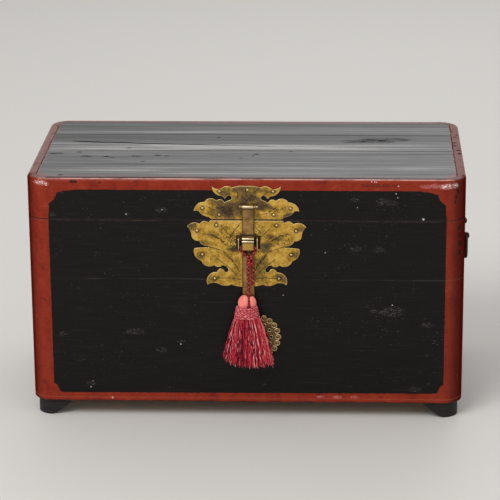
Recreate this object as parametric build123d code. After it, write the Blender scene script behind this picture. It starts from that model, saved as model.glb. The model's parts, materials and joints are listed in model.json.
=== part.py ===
from build123d import *
import os
from math import asin, degrees, radians, tan

# Lacquered wooden trunk with a lift lid, brass lock plates, a hinged hasp with a
# silk tassel, side bails and bracket feet.
# Millimetres. X runs along the front, the front faces -Y, Z is up. The origin is
# on the floor under the middle of the carcass.

# Carcass
chest_width = 760.0
chest_depth = 400.0
box_height = 410.0  # carcass and lid together, without the feet
lid_height = 72.0
wall = 15.0
post_size = 36.0  # square corner post
corner_radius = 34.0  # outer edge of the post, in plan
top_arris = 5.0
base_arris = 3.0
bottom_thickness = 14.0
bottom_plank_gap = 0.5

# Lid panel of three planks, let in flush with the top of the lid's walls
panel_thickness = 13.0
panel_groove = 0.8  # open joint between the panel and the walls
front_plank = 172.0
middle_plank = 109.0
plank_gap = 0.5
batten_width = 40.0
batten_thickness = 14.0

# Rim strips nailed inside the carcass, over which the lid closes
rim_thickness = 6.0
rim_rise = 8.0
rim_depth = 20.0
rim_clearance = 0.6

# Bracket feet
foot_height = 28.0
foot_inset = 7.0
foot_length = 62.0
foot_board = 18.0
foot_pad_start = 9.0
foot_pad_end = 26.0
foot_shoulder = 15.0
foot_toe = 4.0

# Sheet brass on the front
plate_thickness = 1.4
plate_x = 2.0  # the lock plates sit a little right of the middle
plate_gap = 1.2  # bare wood between a plate's straight edge and the seam
nail_radius = 2.4
nail_height = 1.7

# Hasp: a strap that hangs from a pin on the lid's plate
hasp_x = 4.8
strap_width = 21.2
strap_thickness = 2.2
strap_back = 3.6  # from the wood to the strap's back
tail_drop = 166.0  # from the seam to the strap's free end
pin_rise = 25.0  # from the seam up to the pin
pin_stand = 6.0  # from the wood to the pin's axis
pin_radius = 1.7
pin_clearance = 0.1
knuckle_radius = 3.3
lug_thickness = 2.4
lug_radius = 3.5
lug_gap = 1.1
pin_head_radius = 2.5
pin_head = 1.5
pin_overhang = 2.6

# The hasp's eye block with its slot for the cord
block_top = 32.0  # below the seam
block_height = 19.0
block_depth = 8.6  # proud of the strap
bead_radius = 1.2
bead_drop = 3.2
slot_lip = 2.1
slot_height = 6.7
slot_depth = 5.4
slot_stand = 10.4  # from the wood to the middle of the slot

# Ears on either side of the block
ear_clearance = 4.8
ear_thickness = 1.6
ear_reach = 17.0
ear_top = 28.0
ear_height = 24.0
ear_round = 6.0
ear_hole_radius = 3.4
ear_foot = 4.0
ear_foot_thickness = 1.2

# Pierced rosette
rosette_x = 19.6
rosette_z = 152.3
petal_count = 20
petal_ring = 36.3
petal_radius = 5.6
pierced_count = 12
pierced_ring = 24.3
pierced_radius = 2.0
boss_radius = 13.0
boss_height = 4.0
petal_boss_radius = 3.0
petal_boss_height = 1.6

# Tassel of silk thread on a cord
cord_diameter = 3.8
cord_run = 12.9  # cord's line beside the block, from the hasp's middle
cord_fold = 3.8  # radius of the fold out of the slot
tassel_back = 6.6  # from the wood to the back of the tassel
tassel_x = 2.5
head_top = 233.0
head_height = 24.0
lobe_radius = 10.4
lobe_x = -2.6
side_lobe_radius = 7.6
side_lobe_x = 10.6
side_lobe_drop = 3.0
binding_top = 214.0
binding_bottom = 194.0
binding_width = 36.0
binding_foot_width = 44.0
binding_depth = 25.0
skirt_bottom = 103.0
skirt_width = 90.0
skirt_depth = 40.0
skirt_shift = 3.0
skirt_round = 12.0
soft_gap = 0.4

# Hinges on the back
hinge_x = 0.31 * chest_width
leaf_width = 46.0
leaf_height = 40.0
leaf_thickness = 1.5
leaf_neck = 24.0
barrel_radius = 4.0
hinge_stand = 4.5  # from the back to the hinge's axis
hinge_pin_radius = 2.0
hinge_pin_clearance = 0.1
knuckle_count = 5
knuckle_gap = 0.4
hinge_pin_head = 1.5
hinge_nail_inset = 8.0

# Bail on each side
bail_z = 292.0
bail_y = 0.0
bail_stand = 8.6  # from the side to the bail's axis
bail_span = 92.0  # between the two eyes
bail_rod = 6.0
bail_drop = 42.0
bail_shoulder = 9.0  # from the eye's middle to the bail's side
bail_tip = 7.0
bail_top_bend = 6.5
bail_bottom_bend = 19.0
eye_width = 6.0
eye_radius = 5.8
eye_clearance = 0.35
rose_radius = 14.0
rose_thickness = 1.3
rose_lobes = 8
rose_lobe_radius = 4.4

# Levels and places worked out from the sizes above
seam_z = foot_height + box_height - lid_height
top_z = foot_height + box_height
half_width = chest_width / 2
half_depth = chest_depth / 2
front_y = -half_depth
inner_width = half_width - wall
inner_depth = half_depth - wall
strap_front = strap_back + strap_thickness
block_front = strap_front + block_depth
pin_z = seam_z + pin_rise
block_z = seam_z - block_top
block_foot_z = block_z - block_height
slot_foot_z = block_foot_z + slot_lip
slot_z = slot_foot_z + slot_height - cord_diameter / 2 - soft_gap
ear_x = strap_width / 2 + ear_clearance + ear_thickness / 2
hinge_y = half_depth + hinge_stand


def save(name, *solids):
    shapes = [part for item in solids for part in item.solids()]
    body = shapes[0] if len(shapes) == 1 else Compound(children=shapes)
    body.label = name
    export_step(body, "parts/" + name + ".step")


def block(low, high):
    size = [b - a for a, b in zip(low, high)]
    middle = [(a + b) / 2 for a, b in zip(low, high)]
    return Pos(*middle) * Box(*size)


def front_plane(x, z, stand=0.0):
    # a drawing plane on the front: its X runs right, its Y runs up, and it faces out
    return Plane(origin=(x, front_y - stand, z), x_dir=(1, 0, 0), z_dir=(0, -1, 0))


def bulged(start, end, bulge):
    # a line, or an arc that stands out to the left of its way by its bulge
    if bulge == 0:
        return Line(start, end)
    along = Vector(*end) - Vector(*start)
    side = Vector(-along.Y, along.X).normalized() * bulge
    middle = (Vector(*start) + Vector(*end)) * 0.5 + side
    return ThreePointArc(start, (middle.X, middle.Y), end)


def outline(points):
    return [bulged(a[:2], b[:2], b[2]) for a, b in zip(points, points[1:])]


def plate(plane, points):
    # one half of the outline, from the top middle round to the bottom middle
    half = Curve() + outline(points)
    face = make_face(half + mirror(half, Plane.YZ))
    return extrude(plane * face, plate_thickness)


def dome(radius, height):
    # a cap cut from a ball, standing on its flat foot
    ball = (radius**2 + height**2) / (2 * height)
    start = degrees(asin((ball - height) / ball))
    half = make_face(
        [
            CenterArc((0, height - ball), ball, start, 90 - start),
            Polyline((0, height), (0, 0), (radius, 0)),
        ]
    )
    return revolve(Plane.XZ * half, Axis.Z)


def nails(plane, places):
    return [plane * Pos(x, z, 0) * dome(nail_radius, nail_height) for x, z in places]


def mirrored_places(places):
    return [(side * x, z) for x, z in places for side in (-1, 1)]


# ---------------------------------------------------------------- carcass and lid
def rounded_block(low_z, high_z):
    base = Pos(0, 0, low_z) * RectangleRounded(chest_width, chest_depth, corner_radius)
    return extrude(base, high_z - low_z)


def frame_pieces(shell, low_z, high_z):
    # the shell cut into four walls and four corner posts
    post_x = half_width - post_size
    post_y = half_depth - post_size
    regions = {
        "front": ((-post_x, -half_depth), (post_x, -inner_depth)),
        "back": ((-post_x, inner_depth), (post_x, half_depth)),
        "left": ((-half_width, -post_y), (-inner_width, post_y)),
        "right": ((inner_width, -post_y), (half_width, post_y)),
        "post_front_left": ((-half_width, -half_depth), (-post_x, -post_y)),
        "post_front_right": ((post_x, -half_depth), (half_width, -post_y)),
        "post_back_left": ((-half_width, post_y), (-post_x, half_depth)),
        "post_back_right": ((post_x, post_y), (half_width, half_depth)),
    }
    return {
        name: shell & block((*low, low_z), (*high, high_z))
        for name, (low, high) in regions.items()
    }


def carcass():
    shell = rounded_block(foot_height, seam_z)
    shell = fillet(shell.edges().group_by(Axis.Z)[0], base_arris)
    for name, piece in frame_pieces(shell, foot_height, seam_z).items():
        save("body_" + name, piece)


def bottom_boards():
    # two boards side by side, notched round the corner posts
    post_x = half_width - post_size
    post_y = half_depth - post_size
    high = foot_height + bottom_thickness
    slab = block((-inner_width, -post_y, foot_height), (inner_width, post_y, high))
    slab += block((-post_x, -inner_depth, foot_height), (post_x, inner_depth, high))
    half_gap = bottom_plank_gap / 2
    front = block((-half_width, front_y, 0), (half_width, -half_gap, high))
    back = block((-half_width, half_gap, 0), (half_width, half_depth, high))
    save("bottom_board_front", slab & front)
    save("bottom_board_back", slab & back)


def rim_strips():
    post_x = half_width - post_size - rim_clearance
    post_y = half_depth - post_size - rim_clearance
    low = seam_z - rim_depth
    high = seam_z + rim_rise
    inside_x = inner_width - rim_thickness
    inside_y = inner_depth - rim_thickness
    lid_inside = block(
        (-inner_width + rim_clearance, -inner_depth + rim_clearance, low),
        (inner_width - rim_clearance, inner_depth, high),
    )
    under_seam = block((-half_width, front_y, low), (half_width, half_depth, seam_z))
    reach = lid_inside + under_seam
    save("rim_front", block((-post_x, -inner_depth, low), (post_x, -inside_y, high)) & reach)
    save("rim_left", block((-inner_width, -post_y, low), (-inside_x, post_y, high)) & reach)
    save("rim_right", block((inside_x, -post_y, low), (inner_width, post_y, high)) & reach)


def lid_walls():
    shell = rounded_block(seam_z, top_z)
    shell = fillet(shell.edges().group_by(Axis.Z)[-1], top_arris)
    pocket = Pos(0, 0, top_z - panel_thickness) * RectangleRounded(
        2 * inner_width, 2 * inner_depth, corner_radius - wall
    )
    shell -= extrude(pocket, panel_thickness + 1)
    for name, piece in frame_pieces(shell, seam_z, top_z).items():
        save("lid_" + name, piece)


def lid_planks():
    panel = Pos(0, 0, top_z - panel_thickness) * RectangleRounded(
        2 * (inner_width - panel_groove),
        2 * (inner_depth - panel_groove),
        corner_radius - wall - panel_groove,
    )
    panel = extrude(panel, panel_thickness)
    first = -inner_depth + front_plank
    second = first + middle_plank
    half_gap = plank_gap / 2
    spans = {
        "lid_plank_front": (front_y, first - half_gap),
        "lid_plank_middle": (first + half_gap, second - half_gap),
        "lid_plank_back": (second + half_gap, half_depth),
    }
    for name, (low, high) in spans.items():
        save(name, panel & block((-half_width, low, seam_z), (half_width, high, top_z)))


def lid_battens():
    # two battens under the panel, housed between the front and back walls
    batten_x = chest_width / 4
    high = top_z - panel_thickness
    for name, x in {"lid_batten_left": -batten_x, "lid_batten_right": batten_x}.items():
        low_corner = (x - batten_width / 2, -inner_depth, high - batten_thickness)
        save(name, block(low_corner, (x + batten_width / 2, inner_depth, high)))


def bracket_profile():
    # the bracket's face, from its outer edge inwards, hanging below its top
    toe = -foot_height + foot_toe
    return make_face(
        outline(
            [
                (0, 0, 0),
                (foot_length, 0, 0),
                (foot_length - foot_toe / 2, -foot_toe, 0),
                (foot_pad_end, -foot_height, 2.0),
                (foot_pad_start, -foot_height, 0),
                (0, -foot_shoulder, 2.0),
                (0, 0, 0),
            ]
        )
    )


def feet():
    outer_x = half_width - foot_inset
    outer_y = half_depth - foot_inset
    along_x = Plane(origin=(0, 0, foot_height), x_dir=(1, 0, 0), z_dir=(0, -1, 0))
    along_y = Plane(origin=(0, 0, foot_height), x_dir=(0, 1, 0), z_dir=(1, 0, 0))
    face_leg = extrude(along_x * bracket_profile(), -foot_board)
    side_leg = extrude(along_y * bracket_profile(), foot_board)
    corner = Pos(-outer_x, -outer_y, 0) * (face_leg + side_leg)
    plan = RectangleRounded(2 * outer_x, 2 * outer_y, corner_radius - foot_inset)
    corner &= extrude(plan, foot_height)
    save("foot_front_left", corner)
    save("foot_front_right", mirror(corner, Plane.YZ))
    save("foot_back_left", mirror(corner, Plane.XZ))
    save("foot_back_right", mirror(mirror(corner, Plane.XZ), Plane.YZ))


# ---------------------------------------------------------------- lock plates
upper_half = [
    (0, 60.5, 0),
    (24.5, 57.8, 1.8),
    (43.0, 56.2, 3.6),
    (59.3, 60.4, -2.6),
    (42.5, 42.5, 5.0),
    (37.3, 37.4, -0.8),
    (33.2, 41.6, 0),
    (27.5, 35.9, -5.4),
    (37.5, 31.0, 0.6),
    (51.2, 34.2, 4.2),
    (72.5, 31.8, 5.5),
    (91.2, 15.2, 5.0),
    (82.3, 15.1, -1.2),
    (64.5, 5.0, 2.6),
    (60.0, plate_gap, 0.8),
    (0, plate_gap, 0),
]
lower_half = [
    (0, -plate_gap, 0),
    (60.0, -plate_gap, 0),
    (65.5, -5.5, 1.2),
    (81.0, -7.5, 4.0),
    (103.0, -12.5, 4.6),
    (95.5, -27.5, -1.6),
    (82.5, -38.0, 4.2),
    (67.0, -47.6, 3.2),
    (66.0, -50.2, 0),
    (91.0, -52.0, 0.6),
    (79.0, -74.5, 5.5),
    (56.5, -82.4, 6.0),
    (42.5, -82.7, 3.2),
    (32.2, -91.0, -2.5),
    (39.3, -92.3, -3.4),
    (44.0, -88.6, 0.6),
    (52.3, -95.0, 1.5),
    (68.7, -118.4, 8.0),
    (48.0, -117.4, -3.2),
    (27.0, -117.6, 2.6),
    (0, -122.0, 1.6),
]
upper_nails = [(2.1, 53.8)] + mirrored_places([(46.0, 51.0), (76.0, 20.8), (47.0, 9.3)])
lower_nails = mirrored_places([(85.7, -19.8), (52.0, -9.9), (77.0, -62.9), (55.8, -106.7)])


def lock_plates():
    on_wood = front_plane(plate_x, seam_z)
    on_plate = front_plane(plate_x, seam_z, plate_thickness)
    save("upper_lock_plate", plate(on_wood, upper_half))
    save("upper_plate_nails", *nails(on_plate, upper_nails))
    save("lower_lock_plate", plate(on_wood, lower_half))
    save("lower_plate_nails", *nails(on_plate, lower_nails))


# ---------------------------------------------------------------- hasp and ears
def side_plane(x=0.0):
    # a drawing plane across the front: its X is the distance out from the wood
    return Plane(origin=(x, front_y, 0), x_dir=(0, -1, 0), z_dir=(-1, 0, 0))


def across(face, width):
    # the drawn section, run along X to half its width on both sides of the hasp
    return extrude(side_plane(hasp_x) * face, width / 2, both=True)


def rectangle(low, high):
    size = (high[0] - low[0], high[1] - low[1])
    return Pos((low[0] + high[0]) / 2, (low[1] + high[1]) / 2) * Rectangle(*size)


def hasp():
    tail_z = seam_z - tail_drop
    knuckle = Pos(pin_stand, pin_z) * Circle(knuckle_radius)
    section = knuckle + rectangle((strap_back, tail_z), (strap_front, pin_z))
    section += rectangle((strap_front, block_foot_z), (block_front, block_z))
    section += Pos(block_front, block_z - bead_drop) * Circle(bead_radius)
    section -= Pos(pin_stand, pin_z) * Circle(pin_radius + pin_clearance)
    strap = across(section, strap_width)
    slot_low = (slot_stand - slot_depth / 2, slot_foot_z)
    slot_high = (slot_stand + slot_depth / 2, slot_foot_z + slot_height)
    strap -= across(rectangle(slot_low, slot_high), strap_width + 2)
    tail_corners = strap.edges().filter_by(Axis.Y).group_by(Axis.Z)[0]
    save("hasp_strap", fillet(tail_corners, strap_width * 0.45))


def hasp_pin():
    lug_inner = strap_width / 2 + lug_gap
    lug_outer = lug_inner + lug_thickness
    ring = Pos(pin_stand, pin_z) * Circle(lug_radius)
    stem = rectangle((plate_thickness, pin_z - lug_radius), (pin_stand, pin_z + lug_radius))
    lug = ring + stem - Pos(pin_stand, pin_z) * Circle(pin_radius)
    lug = extrude(side_plane() * lug, -lug_thickness)
    save("hasp_lugs", Pos(hasp_x + lug_inner, 0, 0) * lug, Pos(hasp_x - lug_outer, 0, 0) * lug)
    start = hasp_x - lug_outer
    length = 2 * lug_outer + pin_overhang
    axis = Plane(origin=(start, front_y - pin_stand, pin_z), z_dir=(1, 0, 0))
    pin = axis * extrude(Circle(pin_radius), length)
    pin += Plane(origin=axis.origin, z_dir=(-1, 0, 0)) * dome(pin_head_radius, pin_head)
    save("hasp_pin", pin)


def ears():
    top = seam_z - ear_top
    foot = top - ear_height
    blade = rectangle((plate_thickness, foot), (ear_reach, top))
    blade = fillet(blade.vertices().group_by(Axis.X)[-1], ear_round)
    blade -= Pos(slot_stand, slot_z) * Circle(ear_hole_radius)
    blade = extrude(side_plane() * blade, ear_thickness / 2, both=True)
    foot_low = (0, front_y - plate_thickness - ear_foot_thickness, foot)
    foot_high = (ear_thickness / 2 + ear_foot, front_y - plate_thickness, top)
    right = blade + block(foot_low, foot_high)
    save("ear_right", Pos(hasp_x + ear_x, 0, 0) * right)
    save("ear_left", Pos(hasp_x - ear_x, 0, 0) * mirror(right, Plane.YZ))


def rosette():
    plane = front_plane(rosette_x, rosette_z)
    top = front_plane(rosette_x, rosette_z, plate_thickness)
    face = Circle(petal_ring)
    for place in PolarLocations(petal_ring, petal_count):
        face += place * Circle(petal_radius)
    for place in PolarLocations(pierced_ring, pierced_count):
        face -= place * Circle(pierced_radius)
    body = extrude(plane * face, plate_thickness)
    for place in PolarLocations(petal_ring, petal_count):
        body += top * place * dome(petal_boss_radius, petal_boss_height)
    save("rosette_plate", body)
    save("rosette_boss", top * dome(boss_radius, boss_height))


# ---------------------------------------------------------------- tassel
def cord_tube(points, folds):
    # straight runs joined by arcs; folds gives the radius of the named corners
    corners = [Vector(*p) for p in points]
    radii = []
    for i in range(1, len(corners) - 1):
        before = corners[i] - corners[i - 1]
        after = corners[i + 1] - corners[i]
        shorter = min(before.length, after.length)
        free = 0.45 * shorter / tan(radians(before.get_angle(after)) / 2)
        radii.append(folds.get(i, free))
    path = FilletPolyline(*corners, radius=radii)
    start = Plane(origin=path @ 0, z_dir=path % 0)
    tube = sweep(start * Circle(cord_diameter / 2), path=path)
    print("cord radii", [round(r, 1) for r in radii], "length", round(path.length, 1))
    return tube


def cord_point(x, stand, z):
    return (x, front_y - stand, z)


# from the tassel's head up to the slot's right mouth, through the slot, and down
# again behind the first leg to a loose end
cord_route = [
    cord_point(5.6, 17.2, head_top + soft_gap),
    cord_point(5.0, 15.4, slot_z - 66.0),
    cord_point(4.0, 14.2, slot_z - 46.0),
    cord_point(4.2, 13.8, slot_z - 29.0),
    cord_point(hasp_x + cord_run, slot_stand, slot_z - 9.0),
    cord_point(hasp_x + cord_run, slot_stand, slot_z),
    cord_point(hasp_x - cord_run, slot_stand, slot_z),
    cord_point(hasp_x - cord_run, slot_stand, slot_z - 9.0),
    cord_point(11.4, 8.4, slot_z - 28.0),
    cord_point(13.2, 9.6, slot_z - 46.0),
    cord_point(12.8, 10.4, slot_z - 72.0),
]
cord_folds = {5: cord_fold, 6: cord_fold}


def bullet(radius, height):
    # a bud with a round top, drawn in a little at its flat foot
    half = make_face(
        [
            CenterArc((0, height - radius), radius, 0, 90),
            Polyline(
                (0, height),
                (0, 0),
                (radius * 0.86, 0),
                (radius, height * 0.3),
                (radius, height - radius),
            ),
        ]
    )
    return revolve(Plane.XZ * half, Axis.Z)


def tassel():
    foot = head_top - head_height
    lobe_y = front_y - tassel_back - lobe_radius
    side_y = front_y - tassel_back - side_lobe_radius
    head = Pos(lobe_x, lobe_y, foot) * bullet(lobe_radius, head_height)
    head += Pos(side_lobe_x, side_y, foot) * bullet(
        side_lobe_radius, head_height - side_lobe_drop
    )
    binding = tassel_loft(
        [
            (binding_top, binding_width, binding_depth, tassel_x),
            (binding_bottom, binding_foot_width, binding_depth, tassel_x),
        ]
    )
    save("tassel_head", head - binding)
    save("tassel_binding", binding)
    low = skirt_bottom + skirt_round
    skirt = tassel_loft(
        [
            (binding_bottom, binding_foot_width, binding_depth, tassel_x),
            (low, skirt_width, skirt_depth, tassel_x + skirt_shift),
            (
                skirt_bottom,
                skirt_width - skirt_round,
                skirt_depth - skirt_round / 2,
                tassel_x + skirt_shift,
            ),
        ]
    )
    save("tassel_skirt", skirt)
    save("tassel_cord", cord_tube(cord_route, cord_folds))


def tassel_loft(levels):
    # ellipses whose backs all lie in one plane, so that the tassel leans on the front
    faces = [
        Pos(x, front_y - tassel_back - depth / 2, z) * Ellipse(width / 2, depth / 2)
        for z, width, depth, x in levels
    ]
    return loft(faces, ruled=True)


# ---------------------------------------------------------------- hinges
def hinge_half(knuckles, upper):
    # one leaf with its share of the barrel, drawn for a hinge in the middle of the back
    step = leaf_width / knuckle_count
    way = 1 if upper else -1
    clear = barrel_radius + knuckle_gap
    wing = [
        (-leaf_width / 2, way * clear, 0),
        (leaf_width / 2, way * clear, 0),
        (leaf_neck / 2, way * leaf_height * 0.55, 0),
        (leaf_width / 2, way * leaf_height, 0),
        (-leaf_width / 2, way * leaf_height, 0),
        (-leaf_neck / 2, way * leaf_height * 0.55, 0),
        (-leaf_width / 2, way * clear, 0),
    ]
    back = Plane(origin=(0, half_depth, seam_z), x_dir=(-1, 0, 0), z_dir=(0, 1, 0))
    body = extrude(back * make_face(outline(wing)), leaf_thickness)
    for i in knuckles:
        low = -leaf_width / 2 + i * step + knuckle_gap / 2
        high = low + step - knuckle_gap
        axis = Plane(origin=(low, hinge_y, seam_z), z_dir=(1, 0, 0))
        body += axis * extrude(Circle(barrel_radius), high - low)
        ends = sorted((seam_z, seam_z + way * (clear + 1)))
        web = block((low, half_depth, ends[0]), (high, half_depth + leaf_thickness, ends[1]))
        body += web
    axis = Plane(origin=(-leaf_width, hinge_y, seam_z), z_dir=(1, 0, 0))
    return body - axis * extrude(
        Circle(hinge_pin_radius + hinge_pin_clearance), 2 * leaf_width
    )


def hinges():
    outer = leaf_width / 2 - hinge_nail_inset
    tall = leaf_height - hinge_nail_inset
    short = barrel_radius + hinge_nail_inset
    face = half_depth + leaf_thickness
    lid_leaf = hinge_half(range(1, knuckle_count, 2), True)
    body_leaf = hinge_half(range(0, knuckle_count, 2), False)
    start = Plane(origin=(-leaf_width / 2, hinge_y, seam_z), z_dir=(1, 0, 0))
    pin = start * extrude(Circle(hinge_pin_radius), leaf_width)
    for x, way in ((-leaf_width / 2, -1), (leaf_width / 2, 1)):
        end = Plane(origin=(x, hinge_y, seam_z), z_dir=(way, 0, 0))
        pin += end * dome(barrel_radius - knuckle_gap, hinge_pin_head)
    lid_nails = []
    body_nails = []
    for name, x in {"left": -hinge_x, "right": hinge_x}.items():
        save("hinge_" + name + "_lid_leaf", Pos(x, 0, 0) * lid_leaf)
        save("hinge_" + name + "_body_leaf", Pos(x, 0, 0) * body_leaf)
        save("hinge_" + name + "_pin", Pos(x, 0, 0) * pin)
        for side in (-outer, outer):
            for rise in (short, tall):
                for way, group in ((1, lid_nails), (-1, body_nails)):
                    spot = (x + side, face, seam_z + way * rise)
                    head = Plane(origin=spot, z_dir=(0, 1, 0)) * dome(nail_radius, nail_height)
                    group.append(head)
    save("hinge_lid_nails", *lid_nails)
    save("hinge_body_nails", *body_nails)


# ---------------------------------------------------------------- side bails
def bail_set():
    # drawn for the right side, whose face is at half_width
    axis_x = half_width + bail_stand
    eyes = []
    roses = []
    for way in (-1, 1):
        y = bail_y + way * bail_span / 2
        rose_plane = Plane(origin=(half_width, y, bail_z), z_dir=(1, 0, 0))
        face = Circle(rose_radius - rose_lobe_radius / 2)
        for place in PolarLocations(rose_radius - rose_lobe_radius, rose_lobes):
            face += place * Circle(rose_lobe_radius)
        roses.append(extrude(rose_plane * face, rose_thickness))
        eye_plane = Plane(origin=(axis_x, y - eye_width / 2, bail_z), z_dir=(0, 1, 0))
        ring = eye_plane * extrude(Circle(eye_radius), eye_width)
        stem_low = (half_width + rose_thickness, y - eye_width / 2, bail_z - eye_width / 2)
        ring += block(stem_low, (axis_x, y + eye_width / 2, bail_z + eye_width / 2))
        eyes.append(ring - eye_plane * extrude(Circle(bail_rod / 2 + eye_clearance), eye_width))
    side = bail_span / 2 + bail_shoulder
    tip = bail_span / 2 - bail_tip
    path = FilletPolyline(
        (axis_x, bail_y - tip, bail_z),
        (axis_x, bail_y - side, bail_z),
        (axis_x, bail_y - side, bail_z - bail_drop),
        (axis_x, bail_y + side, bail_z - bail_drop),
        (axis_x, bail_y + side, bail_z),
        (axis_x, bail_y + tip, bail_z),
        radius=[bail_top_bend, bail_bottom_bend, bail_bottom_bend, bail_top_bend],
    )
    rod = sweep(Plane(origin=path @ 0, z_dir=path % 0) * Circle(bail_rod / 2), path=path)
    return roses, eyes, rod


def bails():
    roses, eyes, rod = bail_set()
    save("bail_right_roses", *roses)
    save("bail_right_eyes", *eyes)
    save("bail_right", rod)
    save("bail_left_roses", *[mirror(item, Plane.YZ) for item in roses])
    save("bail_left_eyes", *[mirror(item, Plane.YZ) for item in eyes])
    save("bail_left", mirror(rod, Plane.YZ))


carcass()
bottom_boards()
rim_strips()
lid_walls()
lid_planks()
lid_battens()
feet()
lock_plates()
hasp()
hasp_pin()
ears()
rosette()
tassel()
hinges()
bails()
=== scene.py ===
import json
import random
from functools import partial
from math import atan2, cos, hypot, pi, radians, sin

import bpy
from mathutils import Matrix, Quaternion, Vector, noise

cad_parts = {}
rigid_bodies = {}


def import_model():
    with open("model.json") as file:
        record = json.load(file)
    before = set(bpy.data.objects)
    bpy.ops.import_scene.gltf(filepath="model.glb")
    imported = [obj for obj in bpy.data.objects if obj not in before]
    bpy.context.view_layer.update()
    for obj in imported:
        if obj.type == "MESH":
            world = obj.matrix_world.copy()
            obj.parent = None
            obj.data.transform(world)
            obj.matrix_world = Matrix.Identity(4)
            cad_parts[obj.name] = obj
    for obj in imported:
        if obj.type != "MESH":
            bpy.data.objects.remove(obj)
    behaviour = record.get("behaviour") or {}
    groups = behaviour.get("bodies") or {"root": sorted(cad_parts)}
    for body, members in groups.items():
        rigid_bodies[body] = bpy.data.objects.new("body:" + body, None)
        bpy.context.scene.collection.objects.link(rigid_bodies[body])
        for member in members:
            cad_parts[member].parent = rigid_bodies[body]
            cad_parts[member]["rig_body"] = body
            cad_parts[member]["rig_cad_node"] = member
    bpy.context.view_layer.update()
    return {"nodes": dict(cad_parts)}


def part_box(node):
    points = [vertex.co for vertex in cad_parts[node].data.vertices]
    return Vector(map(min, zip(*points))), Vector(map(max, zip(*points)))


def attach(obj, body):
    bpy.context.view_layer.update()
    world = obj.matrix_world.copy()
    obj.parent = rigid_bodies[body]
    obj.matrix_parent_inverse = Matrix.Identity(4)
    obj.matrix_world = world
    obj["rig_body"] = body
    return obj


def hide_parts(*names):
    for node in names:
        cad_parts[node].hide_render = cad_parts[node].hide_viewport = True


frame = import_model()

nodes = frame["nodes"]
mm = 0.001
bpy.ops.object.select_all(action="DESELECT")

# levels and lines shared with the frame
frontLow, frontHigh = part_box("body_front")
frontY, footZ = frontLow.y, frontLow.z
postX, seamZ = frontHigh.x, frontHigh.z
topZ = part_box("lid_front")[1].z
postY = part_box("body_left")[1].y
innerX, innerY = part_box("body_right")[0].x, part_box("body_back")[0].y
panelLow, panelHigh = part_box("lid_plank_front")


def linear(hexColour):
    channels = [int(hexColour[i:i + 2], 16) / 255 for i in (1, 3, 5)]
    return [c / 12.92 if c <= 0.04045 else ((c + 0.055) / 1.055) ** 2.4 for c in channels] + [1]


def addNode(owner, kind, inputs=(), operation=None, ramp=None, **settings):
    # one node with its settings and links; inputs go by name or in order, each a value, a node or a socket
    tree = owner.node_tree
    new = tree.nodes.new("ShaderNode" + kind)
    if operation:
        new.operation = operation
    for name, value in settings.items():
        setattr(new, name, value)
    for name, value in inputs.items() if isinstance(inputs, dict) else enumerate(inputs):
        if isinstance(value, bpy.types.Node):
            colourMix = value.bl_idname == "ShaderNodeMix" and value.data_type == "RGBA"
            value = value.outputs[2 if colourMix else 0]
        if isinstance(value, bpy.types.NodeSocket):
            tree.links.new(value, new.inputs[name])
        else:
            new.inputs[name].default_value = value
    if ramp:
        stops = new.color_ramp.elements
        while len(stops) < len(ramp):
            stops.new(0.5)
        for stop, (place, colour) in zip(stops, ramp):
            stop.position = place
            stop.color = linear(colour) if isinstance(colour, str) else [colour] * 3 + [1]
    return new


def newMaterial(name):
    # an empty material, and the function that adds its nodes
    material = bpy.data.materials.new(name)
    material.use_nodes = True
    material.node_tree.nodes.clear()
    return material, partial(addNode, material)


def finishMaterial(material, colour, roughness, relief=None, depth=0, metallic=0, gloss=0.5, sheen=0):
    # the shader, its relief with its depth, and its output
    add = partial(addNode, material)
    inputs = {"Base Color": colour, "Roughness": roughness, "Metallic": metallic, "Specular IOR Level": gloss}
    if sheen:
        inputs.update({"Sheen Weight": sheen, "Sheen Roughness": silk["sheenRoughness"]})
    if relief:
        inputs["Normal"] = add("Bump", {"Height": relief, "Distance": depth, "Strength": 1})
    add("OutputMaterial", {"Surface": add("BsdfPrincipled", inputs)})
    return material


def paint(material, *names):
    for name in names:
        data = nodes[name].data
        data.materials.clear()
        data.materials.append(material)


def patches(add, size, stretch=(1, 1, 1), **settings):
    # natural unevenness: size is its grain in metres, stretch draws it out along an axis
    coordinates = add("TexCoord")
    scale = [1 / (size * s) for s in stretch]
    mapping = add("Mapping", {"Vector": coordinates.outputs["Object"], "Scale": scale})
    return add("TexNoise", {"Vector": mapping, "Scale": 1, **settings}, normalize=True)


def graded(add, ramp, size, stretch=(1, 1, 1), **settings):
    # the same unevenness read through a ramp of strengths or colours
    return add("ValToRGB", (patches(add, size, stretch, **settings),), ramp=ramp)


def overlaid(add, colour, *layers):
    # tints laid over a colour one after another, each through its mask
    for mask, tint in layers:
        if isinstance(tint, str):
            tint = linear(tint)
        colour = add("Mix", {0: mask, 6: colour, 7: tint}, data_type="RGBA")
    return colour


def axesOf(add):
    # x, y and z over the piece, in metres
    coordinates = add("TexCoord").outputs["Object"]
    return add("SeparateXYZ", (coordinates,)).outputs


def stripe(add, place, level, reach, core=0.4, strength=1):
    # a band round a level, full within its core and gone at its reach
    away = add("Math", (place, level), "SUBTRACT")
    away = add("Math", (away,), "ABSOLUTE")
    return add("MapRange", (away, reach, core * reach, 0, strength))


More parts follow.
